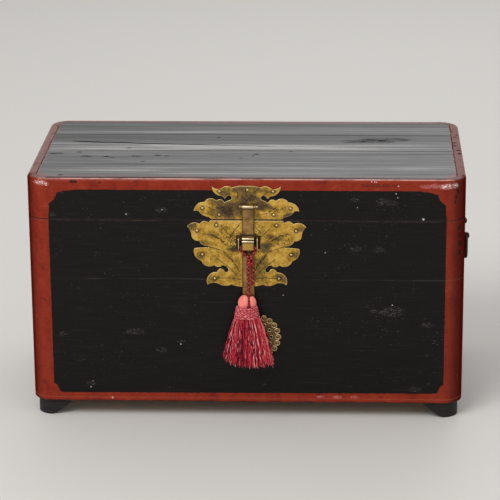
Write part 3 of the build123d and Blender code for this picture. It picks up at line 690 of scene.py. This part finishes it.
silk = dict(
    gloss=0.22, sheen=0.08, sheenRoughness=0.4, relief=0.3 * mm, bandThread=0.5 * mm, headThread=0.45 * mm,
    braid=[(0.1, "#560812"), (0.4, "#941a26"), (0.7, "#c63f44"), (0.95, "#ea9a94")],
    skirt=[(0.0, "#430811"), (0.25, "#84122a"), (0.5, "#ba1e32"), (0.7, "#c83648"), (0.84, "#ec6468"),
           (0.93, "#f8a49e"), (1.0, "#bd9aac")],
    binding=[(0.0, "#6e1420"), (0.35, "#ba3844"), (0.7, "#de7476"), (0.95, "#efb4ae")],
    head=[(0.05, "#d04c46"), (0.4, "#fa857b"), (0.62, "#ff978a"), (0.9, "#ffbcb2")],
)


def silkThread(name, ramp, roughness, threadWidth=None):
    # twisted silk floss: each thread keeps its own shade, with a low sheen along it
    material, add = newMaterial(name)
    strand = add("Attribute", attribute_name="strand")
    colour = add("ValToRGB", (strand.outputs["Fac"],), ramp=ramp)
    fibre = patches(add, threadWidth, (1, 1, 14), Detail=2) if threadWidth else None
    return finishMaterial(material, colour, roughness, fibre, silk["relief"], 0, silk["gloss"], silk["sheen"])


def clamped(value):
    return min(1, max(0, value))


def unevenAt(*place):
    return noise.noise(Vector(place))


def activate(obj):
    bpy.ops.object.select_all(action="DESELECT")
    obj.select_set(True)
    bpy.context.view_layer.objects.active = obj
    return obj


def newPrimitive(operator, **settings):
    # a new primitive with its place in its mesh, and nothing else selected
    bpy.ops.object.select_all(action="DESELECT")
    operator(**settings)
    bpy.ops.object.transform_apply(location=True, rotation=True, scale=True)
    return bpy.context.view_layer.objects.active


def rubRound(obj, width, sharp):
    # a bevel of two steps on the edges sharper than an angle in degrees
    activate(obj)
    modifier = obj.modifiers.new("bevel", "BEVEL")
    modifier.width = width
    modifier.segments = 2
    modifier.limit_method = "ANGLE"
    modifier.angle_limit = radians(sharp)
    bpy.ops.object.modifier_apply(modifier=modifier.name)


def joined(objects, name):
    activate(objects[0])
    for obj in objects:
        obj.select_set(True)
    bpy.ops.object.join()
    objects[0].name = name
    objects[0].data.name = name
    return objects[0]


def mergedCopy(nodeName, name):
    # a welded copy of a frame node, to be worked on
    activate(nodes[nodeName])
    bpy.ops.object.duplicate()
    copy = bpy.context.view_layer.objects.active
    copy.name = name
    copy.data = copy.data.copy()
    copy.data.name = name
    bpy.ops.object.mode_set(mode="EDIT")
    bpy.ops.mesh.select_all(action="SELECT")
    bpy.ops.mesh.remove_doubles(threshold=0.00001)
    bpy.ops.mesh.dissolve_limited(angle_limit=radians(0.5))
    bpy.ops.object.mode_set(mode="OBJECT")
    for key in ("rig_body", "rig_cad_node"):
        if key in copy:
            del copy[key]
    copy.parent = None
    copy.hide_render = False
    copy.hide_viewport = False
    return copy


def dress(obj, material, body, slot, *replaced):
    # the finish, the body it rides on, its slot, which is not used, and the frame nodes it stands for
    obj.data.materials.clear()
    obj.data.materials.append(material)
    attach(obj, body)
    if replaced:
        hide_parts(*replaced)
    return obj


def smoothByAngle(obj):
    activate(obj)
    bpy.ops.object.shade_smooth_by_angle(angle=radians(40))
    return obj


def setAttribute(obj, name, values):
    obj.data.attributes.new(name, "FLOAT", "POINT").data.foreach_set("value", values)


camera = dict(
    place=(178.7 * mm, -3995.2 * mm, 1531 * mm), yaw=2.58, pitch=17.8, roll=-0.42,  # turns in degrees
    lens=165.85, sensor=36,
)


def placed(name, data, place, turn):
    obj = bpy.data.objects.new(name, data)
    bpy.context.scene.collection.objects.link(obj)
    obj.matrix_world = Matrix.Translation(place) @ turn.to_matrix().to_4x4()
    return obj


def addCamera():
    data = bpy.data.cameras.new("camera")
    data.lens = camera["lens"]
    data.sensor_width = camera["sensor"]
    yaw, pitch, roll = (radians(camera[k]) for k in ("yaw", "pitch", "roll"))
    forward = Vector((-sin(yaw) * cos(pitch), cos(yaw) * cos(pitch), -sin(pitch)))
    turn = forward.to_track_quat("-Z", "Y") @ Quaternion((0, 0, 1), roll)
    bpy.context.scene.camera = placed("camera", data, camera["place"], turn)


studio = dict(
    floorSize=24, floorColour="#d8d5d0", backdrop="#f2f2f2", roomLight=0.55,
    # the lights' size and aim, and each one's place in metres and power in watts
    lightSize=2.6, aim=(0, 0, 0.25),
    lights=dict(key=((-1.6, -2.6, 3.4), 100), fill=((2.6, -2.8, 2.2), 9), back=((0.6, 3.0, 2.8), 22)),
)


def addLight(name, place, power):
    data = bpy.data.lights.new(name, "AREA")
    data.energy = power
    data.shape = "DISK"
    data.size = studio["lightSize"]
    ahead = Vector(studio["aim"]) - Vector(place)
    placed(name, data, place, ahead.to_track_quat("-Z", "Y"))


def addStudio():
    floor = newPrimitive(bpy.ops.mesh.primitive_plane_add, size=studio["floorSize"])
    floor.name = "floor"
    material = newMaterial("paleFloor")[0]
    floor.data.materials.append(finishMaterial(material, linear(studio["floorColour"]), 0.6))
    world = bpy.data.worlds.new("studio")
    bpy.context.scene.world = world
    world.use_nodes = True
    world.node_tree.nodes.clear()
    add = partial(addNode, world)
    room = add("Background", {"Color": linear("#ffffff"), "Strength": studio["roomLight"]})
    seen = add("Background", {"Color": linear(studio["backdrop"])})  # what camera and gloss see
    rays = add("LightPath").outputs
    either = add("Math", (rays["Is Camera Ray"], rays["Is Glossy Ray"]), "MAXIMUM")
    add("OutputWorld", {"Surface": add("MixShader", (either, room, seen))})
    for name, (place, power) in studio["lights"].items():
        addLight(name, place, power)
    bpy.context.scene.view_settings.view_transform = "Standard"


addCamera()
addStudio()
print("camera and studio")

cord = dict(
    diameter=3.8 * mm, strands=2, lay=13 * mm, lift=0.8 * mm, steps=420,
    # the slot's middle, half the run through it and the level of the head's top, in millimetres
    slot=(4.8, 10.4, 321.5), run=12.9, headZ=233.4,
    wrapTurns=2.2, wrapSteps=60, wrapRadius=5.2 * mm, wrapDepth=3.8 * mm, wrapPitch=2.6 * mm,
    wrapTilt=1.2 * mm, wrapWire=1.9 * mm, wrapX=8.2 * mm, wrapLevel=293 * mm, wrapStand=11.6 * mm,
    # the cord runs on down between the head's lobes: across, out and height, in millimetres
    headRun=[(5.4, 18.6, 234.5), (6.0, 23.2, 230.5), (5.8, 25.4, 225), (6.6, 25.6, 219), (5.9, 24.4, 213)],
    headWire=1.35 * mm,
)


def cordPoint(x, stand, z):
    # a point in front of the chest: across, out from the front and height, in millimetres
    return Vector((x * mm, frontY - stand * mm, z * mm))


def cordRoute():
    # from the head up the front, through the slot and down again to the loose end
    (x, stand, z), run = cord["slot"], cord["run"]
    return [
        cordPoint(5.6, 17.2, cord["headZ"]),
        cordPoint(5.0, 15.4, z - 66),
        cordPoint(4.0, 14.2, z - 46),
        cordPoint(4.2, 13.8, z - 29),
        cordPoint(x + run, stand, z - 9),
        cordPoint(x + run, stand, z),
        cordPoint(x - run, stand, z),
        cordPoint(x - run, stand, z - 9),
        cordPoint(11.4, 8.4, z - 28),
        cordPoint(13.2, 9.6, z - 46),
        cordPoint(12.8, 10.4, z - 72),
    ]


def splineLine(points, name):
    # the smooth line through a NURBS route, read as points
    data = bpy.data.curves.new(name, "CURVE")
    data.dimensions = "3D"
    data.resolution_u = 12
    spline = data.splines.new("NURBS")
    spline.points.add(len(points) - 1)
    for point, place in zip(spline.points, points):
        point.co = (*place, 1)
    spline.order_u = 3
    spline.use_endpoint_u = True
    obj = bpy.data.objects.new(name, data)
    mesh = bpy.data.meshes.new_from_object(obj)
    line = [v.co.copy() for v in mesh.vertices]
    bpy.data.objects.remove(obj)
    bpy.data.meshes.remove(mesh)
    return line


def evenly(line, count):
    # the same line, in count equal steps
    lengths = [0]
    for a, b in zip(line, line[1:]):
        lengths.append(lengths[-1] + (b - a).length)
    result, i = [], 0
    for k in range(count + 1):
        want = lengths[-1] * k / count
        while i < len(line) - 2 and lengths[i + 1] < want:
            i += 1
        share = (want - lengths[i]) / max(lengths[i + 1] - lengths[i], 1e-9)
        result.append(line[i].lerp(line[i + 1], clamped(share)))
    return result, lengths[-1]


def tubeMesh(name, lines, section, closed=False):
    # tubes along lines, each with its sides and its shape; section(ring, turn, shape, last) gives a corner's
    # radius and strand value, where last says that the ring is one of the two ends
    vertices, faces, values = [], [], []
    for line, sides, shape in lines:
        start = len(vertices)
        axis = (line[1] - line[0]).normalized()
        side = axis.orthogonal().normalized()
        for i, point in enumerate(line):
            ahead = line[min(i + 1, len(line) - 1)] - line[max(i - 1, 0)]
            if closed:
                ahead = line[(i + 1) % len(line)] - line[i - 1]
            ahead.normalize()
            side = (side - ahead * side.dot(ahead)).normalized()
            across = ahead.cross(side)
            for k in range(sides):
                turn = 2 * pi * k / sides
                radius, value = section(i, turn, shape, i in (0, len(line) - 1))
                vertices.append(point + (side * cos(turn) + across * sin(turn)) * radius)
                values.append(value)
        rings = len(line)
        for i in range(rings if closed else rings - 1):
            here, ahead = start + i * sides, start + (i + 1) % rings * sides
            for k in range(sides):
                after = (k + 1) % sides
                faces.append((here + k, here + after, ahead + after, ahead + k))
        if not closed:
            faces.append(tuple(start + k for k in reversed(range(sides))))
            faces.append(tuple(start + (rings - 1) * sides + k for k in range(sides)))
    mesh = bpy.data.meshes.new(name)
    mesh.from_pydata(vertices, [], faces)
    mesh.polygons.foreach_set("use_smooth", [len(p.vertices) == 4 for p in mesh.polygons])
    obj = bpy.data.objects.new(name, mesh)
    bpy.context.scene.collection.objects.link(obj)
    setAttribute(obj, "strand", values)
    return obj


def makeCord():
    steps = cord["steps"]
    line, length = evenly(splineLine(cordRoute(), "cordLine"), steps)
    turnPerRing = 2 * pi * length / steps / cord["lay"]
    radius = cord["diameter"] / 2

    def braid(i, turn, *rest):
        # two sets of strands crossing over the round cord, with a pale fleck, a painted highlight, where one
        # lies on top
        one = cos(cord["strands"] * turn + turnPerRing * i * 2)
        other = cos(cord["strands"] * turn - turnPerRing * i * 2)
        top = max(one, other)
        fleckAndGlint = max(0, top) ** 6 * (0.7 + 0.4 * sin(i * 0.31 + turn))
        return radius + cord["lift"] * (top - 0.1), min(1, 0.15 + 0.85 * fleckAndGlint)

    obj = tubeMesh("tasselCord", [(line, 20, None)], braid)
    dress(obj, cordSilk, "tassel", "crimson_silk", "tassel_cord")
    return obj, line, length


def makeRope(name, points, wire, lay, swell, shade):
    # a plain cord of two strands; swell and shade each have a middle value and how far the strands change it,
    # the shade being painted light on the raised strands and painted shade between them
    def rope(i, turn, *rest):
        lift = cos(2 * turn + i * lay)
        return wire * (swell[0] + swell[1] * lift), shade[0] + shade[1] * lift

    return dress(tubeMesh(name, [(points, 10, None)], rope), cordSilk, "tassel", "crimson_silk")


def wrapLine():
    # the turns that bind the two legs of the cord together below the hasp
    points = []
    for i in range(cord["wrapSteps"] + 1):
        turn = 2 * pi * cord["wrapTurns"] * i / cord["wrapSteps"]
        level = cord["wrapLevel"] - cord["wrapPitch"] * turn / (2 * pi) + cord["wrapTilt"] * cos(turn)
        points.append(Vector((cord["wrapX"] + cord["wrapRadius"] * cos(turn),
                              frontY - cord["wrapStand"] + cord["wrapDepth"] * sin(turn), level)))
    return points


cordSilk = silkThread("braidedSilkCord", silk["braid"], 0.5)
cordPiece, cordLine, cordLength = makeCord()
print("cord, metres:", round(cordLength, 4))

tassel = dict(
    back=6.6 * mm, x=2.5 * mm, bindingTop=214 * mm, bindingBottom=194 * mm,
    bindingWidth=36 * mm, footWidth=44 * mm, depth=25 * mm,
    bindingRows=5, bindingSteps=96, bindingWave=1.5 * mm,
    skirtBottom=109 * mm, slant=4 * mm, skirtWidth=93 * mm, skirtDepth=40 * mm, skirtShift=3 * mm,
    threads=500, threadRadius=0.86 * mm, threadRings=19, headFoot=209 * mm,
    # how uneven the threads are; ends, curl and sway are in millimetres, and drift round the skirt in radians
    ends=(-1.5, 7), endLift=6 * mm, curl=(0.3, 1.5), curls=(2.2, 5), sway=1.6, drift=0.11,
    # one stray thread: across, out and height, in millimetres
    strayThread=[(32, 12, 116), (38, 13, 109), (43.5, 12, 102), (45, 11, 97)],
    # the head's lobes: across, radius, height and seed
    lobes=[(-2.4 * mm, 10.6 * mm, 25 * mm, 9), (10.6 * mm, 8.1 * mm, 22.5 * mm, 23)],
)


def frontOval(x, width, depth, turn, inset):
    # a point on an oval whose back lies against the front
    y = frontY - tassel["back"] - depth / 2
    return Vector((x + width / 2 * inset * cos(turn), y + depth / 2 * inset * sin(turn), 0))


def makeSkirt():
    # loose threads that hang from the binding, each curled and swayed a little in its own way
    rng = random.Random(7)
    lines, rings = [], tassel["threadRings"]
    top, bottom = tassel["bindingBottom"] + 4 * mm, tassel["skirtBottom"]
    topWidth, topDepth = 0.9 * tassel["footWidth"], 0.9 * tassel["depth"]
    for _ in range(tassel["threads"]):
        turn = 2 * pi * rng.random()
        inset = 0.42 + 0.58 * rng.random() ** 0.5
        drop = bottom + rng.uniform(*tassel["ends"]) * mm + tassel["endLift"] * abs(cos(turn)) ** 3
        drop -= tassel["slant"] * cos(turn)
        curl, curls = rng.uniform(*tassel["curl"]) * mm, rng.uniform(*tassel["curls"])
        phase = rng.uniform(0, 6.3)
        sway, drift = rng.gauss(0, tassel["sway"]) * mm, rng.gauss(0, tassel["drift"])
        points = []
        for i in range(rings):
            share = i / (rings - 1)
            spread = share ** 0.8
            width = topWidth + (tassel["skirtWidth"] - topWidth) * spread
            depth = topDepth + (tassel["skirtDepth"] - topDepth) * spread
            tuck = 1 - 0.35 * max(0, share - 0.9)
            point = frontOval(tassel["x"] + tassel["skirtShift"] * spread, width * tuck, depth * tuck,
                              turn + drift * share, inset)
            loose = min(1, 2.5 * share)
            wave = phase + 2 * pi * curls * share
            point += Vector((curl * loose * sin(wave) + sway * sin(2.6 * share + phase) * share,
                             0.7 * curl * loose * cos(1.3 * wave), top + (drop - top) * share))
            point.y = min(point.y, frontY - tassel["back"] - tassel["threadRadius"])
            points.append(point)
        lines.append((points, 3, (rng.random(), rng.uniform(0.75, 1.3), phase)))
    stray = [Vector((tassel["x"] + x * mm, frontY - out * mm, z * mm)) for x, out, z in tassel["strayThread"]]
    lines.append((stray, 3, (0.93, 0.45, 0)))

    def thread(i, turn, shape, last):
        # the shade wanders along a thread, so that it glints in places
        value, thickness, phase = shape
        taper = 0.5 if last else 1
        return tassel["threadRadius"] * thickness * taper, clamped(value + 0.07 * sin(phase + i * 1.3))

    floss = silkThread("silkFloss", silk["skirt"], 0.5)
    return dress(tubeMesh("tasselSkirt", lines, thread), floss, "tassel", "crimson_silk", "tassel_skirt")


def makeBinding():
    # a loosely woven band: uneven cords one above another, crossed by slanting stitches
    lines = []
    rows = tassel["bindingRows"]
    height = tassel["bindingTop"] - tassel["bindingBottom"]
    for row in range(rows):
        share = (row + 0.5) / rows
        width = tassel["bindingWidth"] + (tassel["footWidth"] - tassel["bindingWidth"]) * share
        ring = []
        for i in range(tassel["bindingSteps"]):
            turn = 2 * pi * i / tassel["bindingSteps"]
            uneven = unevenAt(3 * cos(turn), 3 * sin(turn), row * 1.7)
            z = tassel["bindingTop"] - height * share + tassel["bindingWave"] * uneven
            inset = 0.93 + 0.03 * unevenAt(6 * cos(turn), 6 * sin(turn), row + 9)
            ring.append(frontOval(tassel["x"], width, tassel["depth"], turn, inset) + Vector((0, 0, z)))
        lines.append((ring, 10, row))

    def rope(i, turn, row, last):
        loose = unevenAt(i * 0.22, row * 2.1, 4)
        lift = cos(3 * turn + (i * 1.05 + 2.2 * loose) * (1 if row % 2 else -1))
        # paler where a strand is raised and darker between, painted light and shade, with a random tone on
        # top
        shade = 0.45 + 0.34 * lift + 0.55 * unevenAt(i * 0.5, row * 3.1, turn)
        return height / rows * (0.56 + 0.09 * lift + 0.08 * loose), clamped(shade)

    obj = tubeMesh("tasselBinding", lines, rope, closed=True)
    band = silkThread("wovenSilkBand", silk["binding"], 0.55, silk["bandThread"])
    return dress(obj, band, "tassel", "woven_silk", "tassel_binding")


def makeHead():
    # two lobes of coral floss drawn over the cord's loop
    pieces = []
    back = frontY - tassel["back"]
    for x, radius, height, seed in tassel["lobes"]:
        lobe = newPrimitive(bpy.ops.mesh.primitive_uv_sphere_add, segments=96, ring_count=40, radius=1)
        values = []
        for v in lobe.data.vertices:
            turn, around, z = atan2(v.co.y, v.co.x), hypot(v.co.x, v.co.y), v.co.z
            ridge = unevenAt(turn * 5.5, seed, z * 0.6)
            fine = unevenAt(turn * 24, seed, z * 0.9)
            pinch = 1 - 0.13 * max(0, -z) ** 1.5  # narrower towards the binding
            reach = radius * pinch * (1 + (0.05 * ridge + 0.022 * fine) * around)
            v.co = Vector((x + v.co.x * reach, back - radius + v.co.y * reach,
                           tassel["headFoot"] + height * (0.42 + 0.58 * z)))
            # paler where the floss bulges out, a painted highlight, darker in its grooves
            values.append(clamped(0.5 + 0.5 * ridge + 0.45 * fine))
        setAttribute(lobe, "strand", values)
        bpy.ops.object.shade_smooth()
        pieces.append(lobe)
    obj = joined(pieces, "tasselHead")
    floss = silkThread("coralSilkFloss", silk["head"], 0.36, silk["headThread"])
    return dress(obj, floss, "tassel", "coral_silk", "tassel_head")


makeSkirt()
bindingPiece = makeBinding()
headPiece = makeHead()
headLine = splineLine([cordPoint(*place) for place in cord["headRun"]], "headCordLine")
headCord = makeRope("headCord", evenly(headLine, 40)[0], cord["headWire"], 0.8, (0.95, 0.13), (0.2, 0.35))
cordWrap = makeRope("cordWrap", wrapLine(), cord["wrapWire"], 1.1, (0.92, 0.12), (0.35, 0.4))
print("tassel")

plates = dict(
    grid=1.25 * mm, edge=0.55 * mm, dent=0.16 * mm,
    x=2.0, nailRing=3.0, ringWidth=1.9,  # the plates' middle, and the dirt round each nail, in millimetres
    # engraved veins on the left half, in millimetres from the plate's middle and the seam
    lowerVeins=[[(-43, -12), (-32, -24), (-20.5, -36)], [(-61, -27), (-46.5, -36), (-33, -48.5)],
                [(-64, -49), (-38, -58), (-26, -70), (-14, -92)], [(-48.5, -72.5), (-34.5, -83), (-21, -96)],
                [(-33.5, -66), (-26, -74), (-17, -85)], [(-50, -106.5), (-30, -105.5), (-12, -108)],
                [(-13.5, -10), (-19.5, -17.5), (-25.5, -25)], [(-75, -26), (-58, -28), (-40, -39)]],
    upperVeins=[[(-38, 19), (-45, 8)], [(-70, 25), (-57, 18), (-40, 22)], [(-1.2, 53), (-1.2, 44)],
                [(-50, 51), (-38, 50), (-30, 46)], [(-26, 10), (-36, 12), (-50, 22)],
                [(-21, 56), (-15, 50), (-15, 42)], [(-10, 44), (-4, 39), (1, 33)]],
    lowerNails=[(85.7, -19.8), (52, -9.9), (77, -62.9), (55.8, -106.7)],
    upperNails=[(46, 51), (76, 20.8), (47, 9.3)],
    # brown tarnish: place, reach both ways and strength
    tarnish=[(-33, 20, 25, 15, 1), (-8, 26, 18, 12, 0.9), (4, 37, 26, 8, 0.75), (25, 26, 14, 9, 1),
             (2, 54, 27, 8, 0.55), (-35, 47, 8, 9, 0.6), (72, 8, 9, 6, 0.8), (14, 8, 14, 7, 0.5),
             (3, -42, 19, 17, 1), (32, -49, 9, 9, 0.85), (-21, -54, 10, 4, 0.8), (41, -29, 6, 5, 0.6),
             (56, -35, 9, 4, 0.5), (24, -92, 13, 26, 0.35), (-16, -90, 7, 28, 0.25), (85, -63, 8, 6, 0.5),
             (59, -103, 13, 6, 0.45), (66, -111, 7, 5, 0.45), (-97, -9, 10, 7, 0.6), (-71, -42, 10, 7, 0.3),
             (-60, -28, 16, 8, 0.3), (-78, -64, 8, 6, 0.4), (-58, -108, 9, 6, 0.4), (92, -14, 9, 6, 0.5)],
    # where the sheet is pitted
    pitted=[(-25, -36, 13, 15, 1), (-38, -20, 14, 10, 0.6), (24, -24, 9, 14, 0.8), (55, -36, 22, 13, 0.6),
            (20, -70, 10, 25, 0.5), (2, 30, 30, 12, 0.3), (30, -84, 20, 10, 0.4), (-58, -64, 20, 12, 0.4),
            (50, 14, 22, 9, 0.35)],
    # painted shade with patina round the eye block, between the ears and under the strap: its middle from the
    # seam and its half width and height, in millimetres
    eyeBlockShade=(2.8, -38, 14.5, 14),
)


def veinPieces(veins):
    # every straight piece of the engraving, mirrored on the other half
    pieces = []
    for line in veins + [[(-x, z) for x, z in line] for line in veins]:
        for (ax, az), (bx, bz) in zip(line, line[1:]):
            length = hypot(bx - ax, bz - az)
            pieces.append((ax, az, (bx - ax) / length, (bz - az) / length, length))
    return pieces


def veinAt(x, z, pieces):
    # how far the point lies beside the nearest vein, signed, and how near it is
    best, side = 9, 9
    for ax, az, dx, dz, length in pieces:
        along = (x - ax) * dx + (z - az) * dz
        across = (x - ax) * dz - (z - az) * dx
        away = hypot(max(-along, along - length, 0), across)
        if away < best:
            best, side = away, across
    return side * mm, clamped((3 - best) / 1.6)


def blotch(x, z, blobs, seed):
    # the strongest of some ragged, soft-edged blobs at a point
    ragged = 0.5 * unevenAt(x * 0.07, z * 0.07, seed)
    ragged += 0.3 * unevenAt(x * 0.22, z * 0.22, seed)
    value = 0
    for bx, bz, reachX, reachZ, strength in blobs:
        away = hypot((x - bx) / reachX, (z - bz) / reachZ) + ragged
        share = clamped((1.6 - away) / 1.3)
        value = max(value, strength * share * share * (3 - 2 * share))
    return value


def cutIntoGrid(obj, step):
    # cuts along both ways of the plate, so that it has points to engrave
    places = [v.co for v in obj.data.vertices]
    low, high = Vector(map(min, *places)), Vector(map(max, *places))
    activate(obj)
    bpy.ops.object.mode_set(mode="EDIT")
    for axis, normal in ((0, (1, 0, 0)), (2, (0, 0, 1))):
        count = int((high[axis] - low[axis]) / step)
        for i in range(1, count):
            cut = [0, 0, 0]
            cut[axis] = low[axis] + i * step
            bpy.ops.mesh.select_all(action="SELECT")
            bpy.ops.mesh.bisect(plane_co=cut, plane_no=normal)
    bpy.ops.object.mode_set(mode="OBJECT")


def engrave(obj, veins, nails):
    # dents go into the face, and tarnish, dirt with painted shade round the eye block, and engraving into its
    # attributes
    pieces = veinPieces(veins)
    heads = [(side * x, z) for x, z in nails for side in (-1, 1)]
    recessX, recessZ, halfWidth, halfHeight = plates["eyeBlockShade"]
    columns = {name: [] for name in ("tarnish", "pitted", "dirtAndShade", "rubbed", "veinSide", "veinNear")}
    normals = [v.normal.y for v in obj.data.vertices]
    for v, facing in zip(obj.data.vertices, normals):
        x, z = v.co.x / mm - plates["x"], (v.co.z - seamZ) / mm
        if v.co.y > frontY - 1 * mm:
            row = (0.5, 0, 0.3, 0, 9 * mm, 0)  # the plate's hidden back
        else:
            # painted shade with patina round the eye block
            out = max(abs(x - recessX) - halfWidth, abs(z - recessZ) - halfHeight)
            dirtAndShade = 0.85 * clamped(0.6 - out / 3)
            for nailX, nailZ in heads:
                ring = abs(hypot(x - nailX, z - nailZ) - plates["nailRing"]) / plates["ringWidth"]
                dirtAndShade = max(dirtAndShade, 0.95 * clamped(1.2 - ring))
            side, near = veinAt(x, z, pieces)
            rubbed = 1 if abs(facing) < 0.97 else 0
            tarnish, pitted = blotch(x, z, plates["tarnish"], 3), blotch(x, z, plates["pitted"], 7)
            row = (tarnish, pitted, dirtAndShade, rubbed, side, near)
            if not rubbed:
                v.co.y += plates["dent"] * max(0, unevenAt(x * 0.16, z * 0.16, 8))
        for column, value in zip(columns.values(), row):
            column.append(value)
    worn = columns["rubbed"]
    for edge in obj.data.edges:
        a, b = edge.vertices
        if 1 in (worn[a], worn[b]):
            worn[a], worn[b] = max(worn[a], 0.5), max(worn[b], 0.5)
    for name, values in columns.items():
        setAttribute(obj, name, values)


hasp = dict(
    # the edge colour is the painted shade along the strap's edges and the painted shadows across it
    x=4.8 * mm, halfWidth=10.6 * mm, dark="#64492d", edge="#2c2015",
    grain=1.6 * mm, patinaSize=16 * mm, relief=0.2 * mm,
    earPatina=7 * mm, earDepth=17 * mm, earRagged=4 * mm, earRelief=0.3 * mm, earRoughness=0.34,
    tones=[(0.3, "#b38f58"), (0.5, "#9a7544"), (0.68, "#64492d")],
    earTones=[(0.1, "#2c2015"), (0.55, "#6b5230"), (0.8, "#a98c5c"), (1.0, "#d8c193")],
    # level and reach of the bands across the strap: a painted highlight on the barrel, the block rubbed
    # bright, and painted shadows between and below
    highlightAndRubBands=[(sum(corner.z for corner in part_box("hasp_pin")) / 2, 2.6 * mm, "#e0cea8"),
                 (seamZ - 44.5 * mm, 10 * mm, "#c79f4c")],
    shadowBands=[(seamZ - 26.5 * mm, 3 * mm, 0.9), (seamZ - 33 * mm, 1.2 * mm, 0.9),
               (seamZ - 37.6 * mm, 1.1 * mm, 0.8), (seamZ + 21 * mm, 3 * mm, 0.6),
               (seamZ - 56 * mm, 5 * mm, 0.8)],
    beads=[(seamZ - 30.6 * mm, 13.2 * mm), (seamZ - 35.2 * mm, 14.9 * mm)],  # level, and how far out
    beadRadius=1.5 * mm, beadWidth=20.6 * mm, beadColour="#e0cea8",
)


def haspBeads(material):
    # two round bars soldered across the top of the eye block
    bars = []
    for level, stand in hasp["beads"]:
        bars.append(newPrimitive(
            bpy.ops.mesh.primitive_cylinder_add, vertices=24, radius=hasp["beadRadius"],
            depth=hasp["beadWidth"], location=(hasp["x"], frontY - stand, level),
            rotation=(0, radians(90), 0)))
        rubRound(bars[-1], 0.3 * hasp["beadRadius"], 50)
    return dress(smoothByAngle(joined(bars, "haspBeads")), material, "hasp", "brass")


rosette = dict(
    x=19.6 * mm, z=152.3 * mm, petals=20, ring=36.3 * mm, petalRim=4.3 * mm, rimWire=0.75 * mm,
    piercings=12, piercingRing=24.3 * mm, piercingRim=2.9 * mm, stand=1.7 * mm,
)


def rosetteRims(material):
    # raised rims punched round each petal and each piercing
    rims = []
    for count, ring, radius in ((rosette["petals"], rosette["ring"], rosette["petalRim"]),
                                (rosette["piercings"], rosette["piercingRing"], rosette["piercingRim"])):
        for n in range(count):
            turn = 2 * pi * n / count
            x, z = rosette["x"] + ring * sin(turn), rosette["z"] + ring * cos(turn)
            rims.append(newPrimitive(
                bpy.ops.mesh.primitive_torus_add, major_segments=20, minor_segments=6, major_radius=radius,
                minor_radius=rosette["rimWire"], location=(x, frontY - rosette["stand"], z),
                rotation=(radians(90), 0, 0)))
    obj = joined(rims, "rosetteRims")
    bpy.ops.object.shade_smooth()
    return dress(obj, material, "chest_body", "brass")


def softened(nodeName, name, material, body, width, sharp=40, work=None):
    # the same piece with its sharp edges rubbed round, and engraved where work says how
    obj = mergedCopy(nodeName, name)
    rubRound(obj, width, sharp)
    if work:
        cutIntoGrid(obj, plates["grid"])
        engrave(obj, *work)
    smoothByAngle(obj)
    return dress(obj, material, body, "brass", nodeName)


plateBrass = plateSheetBrass()
for half, body in (("upper", "lid"), ("lower", "chest_body")):
    softened(half + "_lock_plate", half + "LockPlate", plateBrass, body, plates["edge"], 50,
             (plates[half + "Veins"], plates[half + "Nails"]))
print("lock plates")

fittingBrass = agedBrass("castBrass", "#8a6a3e", "#3c2c1b", 0.36, 0.42)
# pale rubbed brass for the rosette's raised rims and the hasp pin, its pale partly a painted highlight
rubbedAndHighlightBrass = agedBrass("rubbedCastBrassWithHighlight", "#cdb88c", "#6d5636", 0.3, 0.5)
# a dark copy of the cast brass, for the bails
darkBrass = agedBrass("darkCastBrass", "#40311f", "#1c150f", 0.42, 0.42)
nailBrass = agedBrass("polishedNailBrass", "#c9ac6c", "#6d5230", 0.26, 0.6)
earSheet = earBrass()
softened("hasp_strap", "haspStrap", strapBrass(), "hasp", 0.45 * mm)
softened("ear_left", "earLeft", earSheet, "chest_body", 0.3 * mm)
softened("ear_right", "earRight", earSheet, "chest_body", 0.3 * mm)
softened("hasp_lugs", "haspLugs", fittingBrass, "lid", 0.3 * mm)
haspBeads(agedBrass("solderedBrassBead", hasp["beadColour"], "#8d7650", 0.24, 0.6))
rosetteRims(rubbedAndHighlightBrass)
paint(nailBrass, "upper_plate_nails", "lower_plate_nails", "hinge_lid_nails", "hinge_body_nails")
paint(rubbedAndHighlightBrass, "hasp_pin")
paint(fittingBrass, "rosette_plate", "rosette_boss")
for side in ("left", "right"):
    paint(darkBrass, f"bail_{side}", f"bail_{side}_roses", f"bail_{side}_eyes")
    paint(fittingBrass, f"hinge_{side}_lid_leaf", f"hinge_{side}_body_leaf", f"hinge_{side}_pin")
print("brass fittings")

corners = ("front_left", "front_right", "back_left", "back_right")
frontLacquer = lacqueredBoard("blackAndRedLacquer", "x")
sideLacquer = lacqueredBoard("blackAndRedLacquerSides", "y")
for part in ("body", "lid"):
    paint(frontLacquer, part + "_front", part + "_back", *[f"{part}_post_{corner}" for corner in corners])
    paint(sideLacquer, part + "_left", part + "_right")
paint(topLacquer(), "lid_plank_front", "lid_plank_middle", "lid_plank_back")
paint(barePine(), "bottom_board_front", "bottom_board_back", "rim_front", "rim_left", "rim_right",
      "lid_batten_left", "lid_batten_right")
paint(stainedFoot(), *["foot_" + corner for corner in corners])
print("woodwork")
